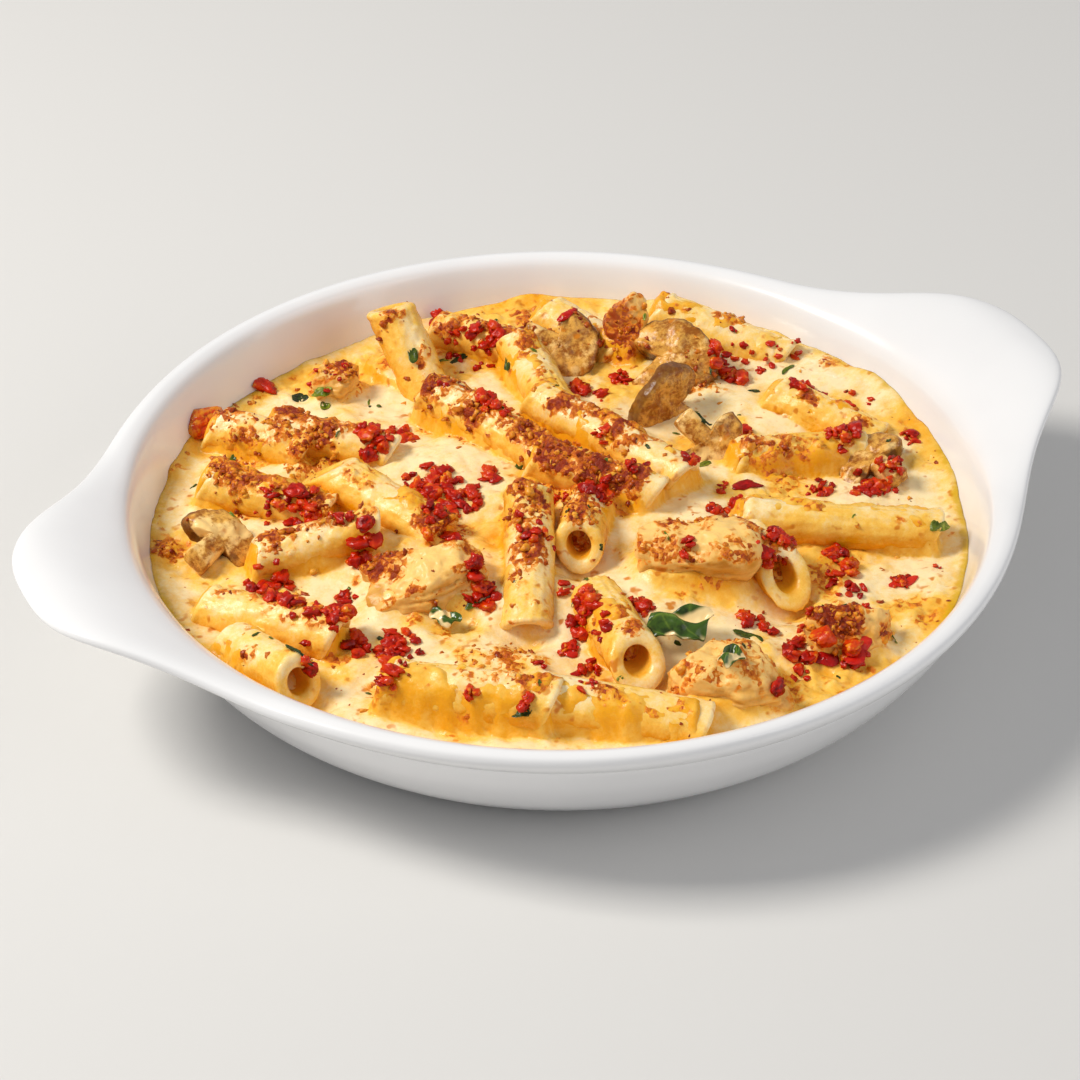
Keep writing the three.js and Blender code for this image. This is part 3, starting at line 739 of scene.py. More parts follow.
def toast_field(x, y):
    """How browned the top is at (x, y): the tops of the browned penne, the patches, and
    stretches of the sauce's edge."""
    edge = step(84, 89, np.hypot(x, y)) * step(0.0, 0.6, flat_cloud(x, y, 15, 131))
    field = 0.5 * edge
    for row in PENNE:
        *_, length, _, browned, _ = row
        along, beside, _ = along_penne(x, y, row)
        inside = step(0.5 * length + 2, 0.5 * length - 3, np.abs(along))
        strip = browned * inside * np.exp(-((beside / 4.2) ** 2))
        field = np.maximum(field, strip)
    for px, py, reach, strength in BROWNED:
        away = np.hypot(x - px, y - py) / reach
        field = np.maximum(field, strength * np.exp(-(away**2)))
    return field


def torn(field, points):
    """The toast field, torn into islands by noise of 7 and 2 mm."""
    return field + 0.42 * cloud(points, 7, 31) + 0.25 * cloud(points, 2.2, 37, 2)


def toast_mark(points, up):
    """The toast mark of points on a piece: the torn field, on what faces up."""
    field = toast_field(points[..., 0], points[..., 1]) * step(0.0, 0.7, up)
    return np.clip(step(0.2, 1.25, torn(field, points)) * step(0.03, 0.2, field), 0, 1)


def crust_relief(points, toast):
    """How far browned crust stands out in mm: lumps of 2.6 and 1.3 mm, where it is toasted."""
    lumps = 0.35 + 0.65 * cloud(points, 2.6, 101, 1) + 0.4 * cloud(points, 1.3, 103, 1)
    return 0.85 * step(0.0, 0.45, toast) * lumps


def slopes_up(points, faces):
    """The upward share of each point's normal, from the faces round it."""
    normals = np.zeros_like(points)
    for face in faces:
        corner = points[face]
        cross = np.cross(corner[:, 1] - corner[:, 0], corner[:, 2] - corner[:, 0])
        if face.shape[1] == 4:
            cross = np.cross(corner[:, 2] - corner[:, 0], corner[:, 3] - corner[:, 1])
        for k in range(face.shape[1]):
            np.add.at(normals, face[:, k], cross)
    return normals[:, 2] / np.maximum(np.linalg.norm(normals, axis=1), 1e-9)


def food_heights():
    """A map of the dish's plan: the height of the highest food point in each cell."""
    side = int(2 * MAP_REACH / MAP_CELL) + 1
    heights = np.full((side, side), -1.0)
    for name in FOOD_PIECES:
        piece = bpy.data.objects.get(name)
        if piece is None:
            raise RuntimeError(f"make {name} before what lies on it")
        points = np.empty(3 * len(piece.data.vertices), np.float32)
        piece.data.vertices.foreach_get("co", points)
        points = points.reshape(-1, 3) / MM
        cells = ((points[:, :2] + MAP_REACH) / MAP_CELL).astype(int)
        i, j = np.clip(cells, 0, side - 1).T
        np.maximum.at(heights, (i, j), points[:, 2])
    near = [np.roll(heights, shift, (0, 1)) for shift in product((-1, 0, 1), repeat=2)]
    return np.where(heights < 0, np.max(near, 0), heights)


def height_at(heights, x, y):
    """The food's height at (x, y), from its map."""
    last = len(heights) - 1
    i, j = [np.clip(((v + MAP_REACH) / MAP_CELL).astype(int), 0, last) for v in (x, y)]
    return heights[i, j]


# ---- Pieces ----


def dish_surface():
    """The dish: its section smoothed by a Catmull-Rom curve and turned about Z in 288 steps.
    A rim point moves out by the ear's reach times 1/(1+(angle/half)^3.3), and rises where it
    is far out along X."""
    steps, columns = 5, 288
    rows = smooth_rows(OUTSIDE[1:] + RIM + INSIDE[:-1], steps)
    rows[:, 1] = np.maximum(rows[:, 1], 0)
    radius, height, follow = rows.T[:, :, None]
    angle = np.linspace(0, 2 * pi, columns, endpoint=False)[None]
    from_axis = np.arctan2(np.abs(np.sin(angle)), np.abs(np.cos(angle)))
    share = 1 / (1 + (from_axis / EAR_HALF_ANGLE) ** EAR_SHARPNESS)
    out = radius + EAR_REACH * np.clip(follow, 0, 1) * share
    x, y = out * np.cos(angle), out * np.sin(angle)
    rise = EAR_RISE * step(EAR_RISE_START, EAR_RISE_END, np.abs(x))
    row, rim_start = np.arange(len(rows))[:, None], len(OUTSIDE) - 1
    on_rim = (row > steps * rim_start) & (row < steps * (rim_start + len(RIM)))
    points = np.stack([x, y, height + rise * on_rim], -1).reshape(-1, 3)
    poles = np.array([[0, 0, 0], [0, 0, INSIDE[-1][1]]])
    count = len(rows) * columns
    faces = [
        grid_faces(len(rows), columns),
        cap_faces(0, columns, count, flip=True),
        cap_faces(count - columns, columns, count + 1),
    ]
    return np.vstack([points, poles]), faces


def disc_grid(count):
    """A square grid of points pressed into a disc of radius 1, so that its cells stay even, as
    x, y and distance from the middle."""
    a, b = np.meshgrid(*[np.linspace(-1, 1, count)] * 2, indexing="ij")
    wide = np.abs(a) > np.abs(b)
    radius = np.where(wide, a, b)
    ratio = np.where(wide, b, a) / np.where(radius == 0, 1, radius)
    turn = np.where(wide, pi / 4 * ratio, pi / 2 - pi / 4 * ratio)
    return radius * np.cos(turn), radius * np.sin(turn), np.abs(radius)


def sauce_heights(x, y):
    """The heights of the bare bed of sauce at (x, y), and of the bed with what clings to the
    food. The bed is the mound, made uneven by noise of 9 and 3 mm, higher round the penne and
    hollow before each open end. Over each penne a film from nothing to 1 mm thick follows its
    round top, drops steeply beside it and is left off round the open ends. Round each chunk
    and slice the sauce is banked up, and the creases between them are filled."""
    z = mound_surface(x, y)
    flat = np.stack([x, y, z], -1)
    z = z + 0.9 * cloud(flat, 9, 11) + 0.25 * cloud(flat, 3, 13, 2)
    z = z + BED_RISE * step(80, 62, np.hypot(x, y))
    for row in PENNE:
        *_, length, open_end, _, _ = row
        along, beside, _ = along_penne(x, y, row)
        ahead = (open_end * along - 0.5 * length - 3) / HOLLOW_LENGTH
        near = np.exp(-(ahead**2) - (beside / HOLLOW_HALF_WIDTH) ** 2)
        z = z - HOLLOW_DEPTH * abs(open_end) * near
    bed = z.copy()
    film = 0.4 + 1.15 * flat_cloud(x, y, 7, 17) + 0.25 * flat_cloud(x, y, 2.5, 19, 2)
    for row in PENNE:
        *_, tilt, length, open_end, _, _ = row
        along, beside, axis = along_penne(x, y, row)
        half = 0.5 * length
        over = np.maximum(np.abs(along) - half + 1.5, 0)
        round_it = PENNE_RADIUS - film
        side = np.maximum(np.abs(beside) - round_it, 0)
        top = axis + np.sqrt(np.maximum(round_it**2 - beside**2, 0))
        shown = step(half - 13, half - 4, open_end * along) if open_end else 0
        rise = 2 if tilt < -30 else 11
        film_top = top - 0.9 * over**2 - FILM_FALL * side - 9 * shown
        z = higher(z, np.minimum(film_top, bed + rise), CREASE)
    for px, py, pz, (sx, sy, sz), turn, *_ in CHICKEN:
        cx, cy = np.cos(radians(turn)), np.sin(radians(turn))
        u = ((x - px) * cx + (y - py) * cy) / sx
        v = ((y - py) * cx - (x - px) * cy) / sy
        away = (u**4 + v**4) ** 0.25
        top = pz + 0.15 * sz - 1.6 * sz * np.maximum(away - 0.75, 0)
        z = higher(z, np.minimum(top, bed + 5), 3)
    for px, py, pz, cap, *_ in MUSHROOM:
        away = np.hypot(x - px, y - py)
        z = higher(z, pz - 2.5 - 0.9 * np.maximum(away - 0.5 * cap, 0), 3)
    return bed, z


def sauce_underside(points, border):
    """The sauce's underside: its border drawn in over four rings that lie on the dish's inside,
    to a pole in the middle. Returns its points and its faces."""
    rings = []
    for part in (0.955, 0.9, 0.8, 0.5):
        ring = points[border] * (part, part, 1)
        ring[:, 2] = floor_height(np.hypot(ring[:, 0], ring[:, 1])) + 0.25
        rings.append(ring)
    total, columns = len(points), len(border)
    under = np.vstack([*rings, [[0, 0, INSIDE[-1][1] + 0.25]]])
    first_ring = total + np.arange(columns)
    faces = [
        np.stack([border, np.roll(border, -1), np.roll(first_ring, -1), first_ring], -1),
        grid_faces(len(rings), columns, start=total),
        cap_faces(total + 3 * columns, columns, total + 4 * columns),
    ]
    return under, [face[:, ::-1] for face in faces]


def sauce_surface():
    """The sauce: a disc of even cells raised to the sauce's heights, with crust lumps where it
    is toasted. Its edge runs up the wall by up to 2 mm, and its underside follows the dish. It
    is marked golden on slopes, partly as painted shade, in hollows as painted shade, at its
    edge and round the toast, and oily along parts of its edge."""
    count = 300
    x, y, share = disc_grid(count)
    around = np.arctan2(y, x)
    ex, ey = SAUCE_EDGE_RADIUS * np.cos(around), SAUCE_EDGE_RADIUS * np.sin(around)
    lick = 0.6 + 1.3 * flat_cloud(ex, ey, 16, 41) + 0.4 * flat_cloud(ex, ey, 5, 43, 3)
    edge = mound_surface(ex, ey) + np.maximum(lick, 0.05)
    out = wall_radius(edge) + 0.15
    x, y = x * out, y * out
    bed, z = sauce_heights(x, y)
    z = z + (edge - z) * step(0.955, 1.0, share)
    z = np.minimum(z, FOOD_TOP)
    # Painted shade: where the bed lies below a blurred copy of itself, its hollows are marked a
    # deeper gold.
    blurred = z.copy()
    for _ in range(8):
        shifts = [np.roll(blurred, s, a) for s in (-2, 2) for a in (0, 1)]
        blurred = (blurred + sum(shifts)) / 5
    hollow = step(0.2, 1.5, (blurred - z).ravel())
    raised, share = (z - bed).ravel(), share.ravel()
    points = np.stack([x, y, z], -1).reshape(-1, 3)
    faces = [grid_faces(count, count, closed=False)[:, ::-1]]
    up = slopes_up(points, faces)
    x, y, _ = points.T

    inner = step(1.0, 0.96, share)
    patches = flat_cloud(x, y, 13, 23)
    crusty = np.maximum(step(-0.1, 0.6, patches), step(1.5, 5, raised))
    singed = 0.34 * crusty * step(0.1, 0.9, cloud(points, 4.5, 109)) * inner
    toast = np.maximum(toast_mark(points, up) * (0.45 + 0.55 * step(1, 4, raised)), singed)
    lumpy = 0.5 * cloud(points, 3, 105, 2) + 0.25 * cloud(points, 1.3, 107, 1)
    lumpy = crusty * step(0.35, 0.95, up) * lumpy
    points[:, 2] += (crust_relief(points, toast) + lumpy) * inner

    # Gold on slopes is partly painted shade and gold in the hollows is painted shade; the rest is
    # the sauce's own deeper yellow.
    gold = (0.1 + 0.25 * patches + 0.3 * crusty + 0.4 * step(2.0, 5.5, raised)
            + 0.5 * step(0.93, 0.5, up) + 0.3 * hollow + 0.25 * step(0.92, 0.985, share)
            + 0.25 * step(0.0, 0.3, toast))
    weight = 0.25 + 0.9 * flat_cloud(x, y, 22, 51) + 0.5 * np.abs(np.cos(np.arctan2(y, x)))
    oil = np.clip(step(0.962, 0.995, share) * weight, 0, 1) * step(0.5, 0.9, up)
    under, under_faces = sauce_underside(points, grid_border(count, count))
    none = np.zeros(len(under))
    marks = {
        "toast": np.concatenate([toast, none]),
        "gold": np.concatenate([np.clip(gold, 0, 1), none + 1]),
        "oil": np.concatenate([oil, none]),
    }
    return np.vstack([points, under]), faces + under_faces, marks


def penne_surface(row, number):
    """One penne: a closed profile (bore floor, bore, rim, outside, rim, bore, floor) carried
    round its axis in steps that are closer on top, with 18 fine ridges, a slanted cut at both
    ends, a slight squash and bend, and crust lumps pushed out where it is toasted."""
    *middle, heading, tilt, length, open_end, _, slanted = row
    half, columns = 0.5 * length, 56
    deep = half - PENNE_BORE_DEPTH
    inner = [(0.01, deep), (0.9, deep), (1, deep + 1.5), (1, deep + 4)]
    lip = [(1, half - 1.5), (1.04, half - 0.6), (1.2, half - 0.1), (1.5, half + 0.1),
           (1.8, half - 0.05), (1.98, half - 0.5), (2.037, half - 1.3)]
    end = [(PENNE_BORE * r, d) for r, d in inner + lip]
    body = [(PENNE_RADIUS, d) for d in np.linspace(2.0 - half, half - 2.0, 52)]
    profile = [(r, -d) for r, d in end] + body + end[::-1]
    ring, along = np.array(profile).T[:, :, None]
    turn = np.linspace(0, 2 * pi, columns, endpoint=False)[None]
    around = turn + pi / 2 - 0.42 * np.sin(turn) + 0 * along
    along = along + 0 * around
    outside = step(PENNE_BORE + 0.6, PENNE_RADIUS - 0.4, ring)
    key = 10.0 * number
    place = np.stack([along, 5.5 * np.cos(around), 5.5 * np.sin(around) + key], -1)
    coat = cloud(place, 9, 61)
    ridge = 0.1 * np.cos(18 * around) * (1 - 0.8 * step(-0.5, 0.3, coat))
    squash = 0.35 * np.cos(2 * around + number)
    swell = 0.3 * cloud(place, 6, 67) + 0.16 * cloud(place, 1.8, 71, 2)
    out = ring + squash * ring / PENNE_RADIUS + outside * (ridge + swell)
    y, z = out * np.cos(around), out * np.sin(around)
    bend = 0.6 * np.sin(1.7 * number) * (1 - (along / half) ** 2)
    nib = slanted * step(0.1 * half, half, (open_end or 1) * along)
    x = along + (PENNE_SLANT + nib) * z
    local = np.stack([x, y + bend, z], -1)
    points = turned(local, heading, tilt) + middle
    radial = turned(np.stack([0 * around, np.cos(around), np.sin(around)], -1), heading, tilt)
    toast = toast_mark(points, radial[..., 2] * outside)
    points = points + (crust_relief(points, toast) * outside)[..., None] * radial
    faces = [grid_faces(len(profile), columns)]
    count = len(profile) * columns
    ends = turned(np.array([[-deep, 0, 0], [deep, 0, 0.0]]), heading, tilt) + middle
    faces += [cap_faces(0, columns, count, flip=True),
              cap_faces(count - columns, columns, count + 1)]
    depth = (half - 0.5 - np.abs(along)) / 3
    bore = (ring < PENNE_BORE + 0.3) * np.clip(depth, 0, 1)
    cut_face = step(half - 1.6, half - 0.4, np.abs(along))
    # Gold on the undersides is partly painted shade; it is paler on top and on the cut ends.
    gold = 0.6 - 0.3 * coat - 0.3 * step(0.3, 1, radial[..., 2]) + 0.4 * step(
        0.45, -0.2, radial[..., 2]) * (1 - cut_face) - 0.15 * cut_face
    marks = {"bore": bore, "gold": np.clip(gold, 0, 1), "toast": toast * (1 - bore)}
    marks = {name: np.append(mark.ravel(), [name == "bore"] * 2) for name, mark in marks.items()}
    return np.vstack([points.reshape(-1, 3), ends]), faces, marks


def chunk_surface(row):
    """One torn chunk of chicken: a ball pushed towards a box by (x^4+y^4+z^4)^-0.2, with the
    crags of the part's source (four crossing waves), cut by twelve planes that leave flat torn
    faces, with fibres about 1 mm apart and cream run over its top."""
    px, py, pz, half, turn, tilt, seed, _, creamy = row
    draw = random_stream(seed)
    rows, columns = 72, 120
    ball = ball_points(rows, columns)
    crag = np.zeros(len(ball))
    for _ in range(4):
        wave = np.array([next(draw) - 0.5 for _ in range(3)])
        wave *= 3.2 / np.linalg.norm(wave)
        crag += np.sin(ball @ wave + 6.3 * next(draw))
    boxed = (ball**4).sum(-1) ** -0.2
    shape = ball * (boxed * (0.97 + 0.05 * crag))[:, None]
    whole = np.abs(shape).max(0)
    steep = 0.8 * min(1, half[0] / half[2])
    cuts = np.random.default_rng(seed).normal(size=(12, 3)) * (1, 1, steep)
    cuts = cuts / np.linalg.norm(cuts, axis=1)[:, None]
    for cut in cuts:
        reach = shape @ cut
        limit = 0.74 * reach.max()
        shape = shape * np.where(reach > limit, 0.06 + 0.94 * limit / reach, 1)[:, None]
    local = shape * (whole / np.abs(shape).max(0)) * half
    lean = local * (0.1, 0.3, 1.0) + seed + 0.25 * cloud(local, 5, 82)[:, None]
    fibre = lattice_noise(lean, 0.8, 83) + 0.6 * lattice_noise(lean, 0.37, 85)
    torn = cloud(local + seed, 5, 87) + 0.75 * cloud(local, 2.2, 89, 3)
    coat = creamy - 0.35 + 0.7 * step(0.1, 0.8, ball[:, 2]) + 0.45 * cloud(local, 6, 91)
    smooth = step(0.3, 0.7, coat)
    lift = 0.32 * fibre * (1 - smooth) + 0.7 * torn + 0.25 * smooth - 0.2
    out = ball / np.linalg.norm(ball, axis=1)[:, None]
    local = local + out * lift[:, None]
    points = turned(local, turn, tilt) + (px, py, pz)
    rind = 0.85 * step(0.05, 0.5, -ball[:, 0] + 0.3 * ball[:, 1]) * step(
        -1.2, -0.5, cloud(local, 4, 92)) * (seed == SEED_WITH_RIND)
    marks = {"fibre": np.clip(fibre, -1, 1), "coat": coat, "rind": rind}
    return points, ball_faces(rows, columns), marks


def slice_outline(count):
    """A mushroom's outline for a cap of size 1, stem along +X: straight sides of the stem and
    the cap's quadratic and cubic curves, resampled at even distances."""

    def curve(*points):
        """A Bezier curve by repeated blending of its control points."""
        t = np.linspace(0, 1, 40)[:, None]
        points = [np.array(p, float) for p in points]
        while len(points) > 1:
            points = [(1 - t) * p + t * q for p, q in zip(points, points[1:])]
        return points[0]

    half = np.vstack([
        curve((0.95, 0.0), (0.97, 0.3), (0.9, 0.3)), curve((0.9, 0.3), (0.15, 0.28)),
        curve((0.15, 0.28), (0.35, 0.75), (0.1, 1)),
        curve((0.1, 1), (-0.45, 1), (-0.85, 0.55), (-0.85, 0)),
    ])
    whole = np.vstack([half, (half * (1, -1))[::-1]])
    gaps = np.linalg.norm(np.diff(whole, axis=0), axis=1)
    distance = np.concatenate([[0], np.cumsum(gaps)])
    even = np.linspace(0, distance[-1], count, endpoint=False)
    return np.stack([np.interp(even, distance, whole[:, k]) for k in (0, 1)], -1)


def slice_surface(row, number):
    """One slice of mushroom: the outline drawn in towards the middle over both faces, with
    rounded edges ((1-share^4)^(1/4) of half the thickness), curled by a parabola and wrinkled
    by noise."""
    px, py, pz, cap, turn, tilt, roll, creamy = row
    columns = 150
    outline = slice_outline(columns)
    shares = np.concatenate([np.linspace(0.06, 0.88, 14), [0.93, 0.97, 0.99, 1]])
    top = [(s, (1 - s**4) ** (1 / 4)) for s in shares]
    profile = np.array(top + [(s, -h) for s, h in top[-2::-1]])
    share, level = profile.T[:, :, None]
    middle = np.array([0.05, 0])
    flat = middle + (outline - middle)[None] * share[..., None]
    x, y = np.moveaxis(flat * cap, -1, 0)
    thick = 0.5 * SLICE_THICKNESS * (1.15 + 0.15 * np.cos(2.5 * x / cap - 0.5))
    local = np.stack([x, y, level * thick + 0 * x], -1)
    key = 17.0 * number
    wrinkle = cloud(local + key, 5, 93) + 0.5 * cloud(local + key, 1.8, 95, 2)
    local[..., 2] += 0.7 * wrinkle * level + 0.01 * x**2 - 0.01 * y**2
    local[..., :2] *= (1 + 0.05 * wrinkle)[..., None]
    shape = local.reshape(-1, 3)
    shape = np.vstack([shape, [[0.05 * cap, 0, 0.52 * SLICE_THICKNESS],
                               [0.05 * cap, 0, -0.52 * SLICE_THICKNESS]]])
    points = turned(shape, turn, tilt, roll) + (px, py, pz)
    total = len(profile) * columns
    faces = [grid_faces(len(profile), columns),
             cap_faces(0, columns, total, True),
             cap_faces(total - columns, columns, total + 1)]
    radial = np.hypot(x + 0.15 * cap, y) / cap
    skin = 0.8 * step(0.9, 1.0, share) * (x < 0.3 * cap) + 0.7 * step(0.35, 0.1, np.abs(
        radial - 0.62) * 3) * (x > 0.05 * cap) * (np.abs(y) > 0.3 * cap)
    coat = creamy + 0.4 * cloud(local + key, 7, 97) + 0.1 * step(0, 1, level)
    return points, faces, {
        "skin": np.clip(np.concatenate([(skin + 0 * x).ravel(), [0, 0]]), 0, 1),
        "coat": np.concatenate([coat.ravel(), [0, 0]]),
    }


def leaf_surface(row):
    """One wilted leaf: width times sin(pi u)^0.6 across, folded lengthwise and across by waves
    and crumpled by noise; two faces 0.4 mm apart with a closed edge."""
    px, py, pz, length, width, turn = row
    along, across = 60, 36
    u, v = np.meshgrid(np.linspace(0.001, 0.999, along), np.linspace(-1, 1, across),
                       indexing="ij")
    side = v * np.sin(pi * u) ** 0.6
    flutter = 1 + 0.12 * np.sin(7 * u + 2 * np.sign(v)) + 0.05 * np.sin(19 * u + v)
    scale = length / 15
    x = length * (u - 0.5) + 0.8 * scale * np.sin(4 * side)
    y = 0.5 * width * side * flutter + 0.9 * scale * np.sin(7 * u)
    z = 0.9 * np.sin(7 * u + 2 * side) + 1.1 * np.sin(5 * side + 4 * u) - 0.9 * side**2
    z = z * scale + 1.1 * scale * flat_cloud(x + turn, y, 3.4 * scale + 1, 111)
    sheets = [np.stack([x, y, z + lift], -1).reshape(-1, 3) for lift in (0.25, -0.15)]
    ribs = np.exp(-((v / 0.07) ** 2)) + 0.6 * np.exp(
        -((np.sin(13 * u - 3.2 * np.abs(v)) / 0.22) ** 2)) * (np.abs(v) > 0.04)
    coat = 0.4 - 0.175 * z / scale + 0.6 * flat_cloud(x + 9, y, 6 * scale, 113)
    points = turned(np.vstack(sheets), turn, 0) + (px, py, pz)
    count = along * across
    top = grid_faces(along, across, closed=False)
    edge = grid_border(along, across)
    following = np.roll(edge, -1)
    skirt = np.stack([edge, edge + count, following + count, following], -1)
    faces = [top[:, ::-1], top + count, skirt]
    return points, faces, {"vein": np.clip(np.tile(ribs.ravel(), 2), 0, 1),
                           "coat": np.clip(np.tile(coat.ravel(), 2), 0, 1)}


def lump_cloud(places, sizes, seed, rows, columns, flat=0.75, crag=0.3, boxy=0.0):
    """Many small crumbs as one mesh: each a ball of rows and columns, pushed towards a box by
    (x^4+y^4+z^4)^-boxy, stretched unevenly, pushed in and out by noise with creases, turned at
    random and set in its place."""
    draw = np.random.default_rng(seed)
    count = len(places)
    ball = ball_points(rows, columns)
    each = len(ball)
    whole = np.repeat(ball[None], count, 0)
    shift = draw.uniform(0, 90, (count, 1, 3))
    broad = lattice_noise(1.5 * whole + shift, 1.0, seed)
    crease = np.abs(lattice_noise(3.2 * whole + shift, 1.0, seed + 1))
    push = np.maximum(1.1 + 1.5 * crag * broad - 1.6 * crag * (1 - crease) ** 3, 0.3)
    push = push * (whole**4).sum(-1) ** -boxy
    stretch = draw.uniform(0.55, 1.3, (count, 1, 3)) * (1, 0.8, flat)
    shape = whole * push[..., None] * stretch * 0.5 * np.asarray(sizes)[:, None, None]
    spin, lean = draw.uniform(0, 2 * pi, count), draw.uniform(-0.6, 0.6, count)
    cx, sx = np.cos(lean)[:, None], np.sin(lean)[:, None]
    cz, sz = np.cos(spin)[:, None], np.sin(spin)[:, None]
    x, y, z = np.moveaxis(shape, -1, 0)
    y, z = cx * y - sx * z, sx * y + cx * z
    x, y = cz * x - sz * y, sz * x + cz * y
    points = np.stack([x, y, z], -1) + np.asarray(places)[:, None]
    starts = each * np.arange(count)[:, None, None]
    quads, top, bottom = ball_faces(rows, columns)
    faces = [(kind[None] + starts).reshape(-1, kind.shape[1])
             for kind in (quads, np.vstack([top, bottom]))]
    # Each crumb's random tone, lighter where it bulges and darker in its creases: painted shade in
    # the creases.
    shade = np.repeat(draw.uniform(0.15, 0.85, count), each) + 0.5 * (push.ravel() - 1)
    return points.reshape(-1, 3), faces, {"shade": np.clip(shade, 0, 1)}


def scrap_surface(heights, row, thick, number):
    """A soft scrap lying on the food: a closed pillow, its outline an ellipse waved by noise,
    draped over the heights under it and crumpled a little."""
    px, py, length, width, turn = row
    rows, columns = (9, 18) if length > 2.8 else (3, 8)
    polar = np.linspace(0, pi, rows + 2)[1:-1, None]
    around = np.linspace(0, 2 * pi, columns, endpoint=False)[None]
    wave = 1 + 0.22 * np.sin(2 * around + number) + 0.16 * np.sin(3 * around + 2.3 * number)
    reach = np.sin(polar) ** 0.7 * wave
    x, y = 0.5 * length * reach * np.cos(around), 0.5 * width * reach * np.sin(around)
    spin = radians(turn)
    u = px + x * np.cos(spin) - y * np.sin(spin)
    v = py + x * np.sin(spin) + y * np.cos(spin)
    crumple = 0.12 * length**0.7 * flat_cloud(u + 31 * number, v, 1.5 + 0.2 * length, 121, 2)
    lie = height_at(heights, u, v)
    lie = np.clip(lie, np.median(lie) - 0.8, np.median(lie) + 0.5)
    z = lie + crumple + 0.5 * thick * (np.cos(polar) + 0.6)
    points = np.stack([u, v, z], -1).reshape(-1, 3)
    poles = np.stack([points[:columns].mean(0), points[-columns:].mean(0)])
    shade = 0.5 + 0.35 * np.sin(2.7 * number) + 0.25 * flat_cloud(u, v, 2, 123)
    shade = np.clip(np.append(shade.ravel(), [0.5, 0.5]), 0, 1)
    return np.vstack([points, poles]), ball_faces(rows, columns), {"shade": shade}


# ---- Settings ----


class FoodSettings(bpy.types.PropertyGroup):
    """The food's colours and the fineness of what is scattered."""

    cream_colour: colour_setting("Cream", "FDE6B2", "Sauce where it lies thick")
    golden_colour: colour_setting("Gold", "EFA71A", "Sauce where it is thin or clings")
    pasta_colour: colour_setting("Pasta", "E99C06", "Bare boiled pasta")
    chicken_colour: colour_setting("Chicken", "CE8F30", "Flesh between its fibres")
    mushroom_colour: colour_setting("Mushroom", "9A5814", "Fried mushroom flesh")
    spinach_colour: colour_setting("Spinach", "3A5814", "Wilted leaf")
    grain_count: bpy.props.IntProperty(
        name="Browned grains", description="Grains of crust tried on the browned places",
        default=4800, min=0, max=5500,
    )
    grain_size: bpy.props.FloatProperty(
        name="Grain size", description="Mean width of a grain of crust",
        default=0.0013, min=0.0003, max=0.003, unit="LENGTH", subtype="DISTANCE",
    )


class StageSettings(bpy.types.PropertyGroup):
    """The floor and the lights."""

    key_power: bpy.props.FloatProperty(
        name="Key light", description="Power of the soft light from the far left",
        default=14.2, min=0, unit="POWER",
    )
    fill_power: bpy.props.FloatProperty(
        name="Fill light", description="Power of the weak light from the near right",
        default=3.2, min=0, unit="POWER",
    )
    floor_colour: colour_setting("Floor", "D6D5D3", "Plain pale floor")


# ---- Operators ----


class BAKEDPENNE_OT_dish(bpy.types.Operator):
    """Make the glazed eared dish"""

    bl_idname = "bakedpenne.dish"
    bl_label = "Dish"

    def execute(self, context):
        points, faces = dish_surface()
        add_piece("gratin_dish", points, faces, glaze_material(), "glazed_ceramic", ["dish"])
        return {"FINISHED"}


class BAKEDPENNE_OT_sauce(bpy.types.Operator):
    """Make the bed of baked cream sauce"""

    bl_idname = "bakedpenne.sauce"
    bl_label = "Cream sauce"

    def execute(self, context):
        points, faces, marks = sauce_surface()
        material = cream_material(context.scene.baked_penne_food)
        add_piece("cream_sauce_bed", points, faces, material, "cream_sauce",
                  ["cream_sauce"], marks)
        return {"FINISHED"}


class BAKEDPENNE_OT_penne(bpy.types.Operator):
    """Make the penne that lie in the sauce"""

    bl_idname = "bakedpenne.penne"
    bl_label = "Penne"

    def execute(self, context):
        points, faces, marks = joined([penne_surface(row, i) for i, row in enumerate(PENNE)])
        material = pasta_material(context.scene.baked_penne_food)
        add_piece("baked_penne", points, faces, material, "baked_pasta", ["penne_heap"], marks)
        return {"FINISHED"}


class BAKEDPENNE_OT_chicken(bpy.types.Operator):
    """Make the chunks of chicken"""

    bl_idname = "bakedpenne.chicken"
    bl_label = "Chicken"

    def execute(self, context):
        material = chicken_material(context.scene.baked_penne_food)
        for i, row in enumerate(CHICKEN):
            points, faces, marks = chunk_surface(row)
            crispness = row[7]
            up = slopes_up(points, faces)
            edge = step(0.0, 0.5, up) * step(1.0, 0.75, up)
            browned = (0.35 * step(0, 0.8, up) + 0.45 * edge) * step(
                -0.5, 0.6, cloud(points, 4, 99))
            toast = 0.75 * toast_mark(points, up) + crispness * browned
            marks["toast"] = np.clip(toast, 0, 1)
            points[:, 2] += 0.7 * crust_relief(points, marks["toast"])
            add_piece(f"chicken_chunk_{i + 1}", points, faces, material, "roast_chicken",
                      [f"chicken_{i + 1}"], marks)
        return {"FINISHED"}


class BAKEDPENNE_OT_mushrooms(bpy.types.Operator):
    """Make the slices of mushroom"""

    bl_idname = "bakedpenne.mushrooms"
    bl_label = "Mushrooms"

    def execute(self, context):
        material = mushroom_material(context.scene.baked_penne_food)
        for i, row in enumerate(MUSHROOM):
            points, faces, marks = slice_surface(row, i)
            marks["toast"] = 0.55 * toast_mark(points, slopes_up(points, faces))
            add_piece(f"mushroom_slice_{i + 1}", points, faces, material, "cooked_mushroom",
                      [f"mushroom_{i + 1}"], marks)
        return {"FINISHED"}


class BAKEDPENNE_OT_spinach(bpy.types.Operator):
    """Make the leaves of spinach"""

    bl_idname = "bakedpenne.spinach"
    bl_label = "Spinach"

    def execute(self, context):
        material = leaf_material(context.scene.baked_penne_food)
        for i, row in enumerate(SPINACH):
            points, faces, marks = leaf_surface(row)
            add_piece(f"spinach_leaf_{i + 1}", points, faces, material, "spinach_leaf",
                      [f"spinach_{i + 1}"], marks)
        return {"FINISHED"}


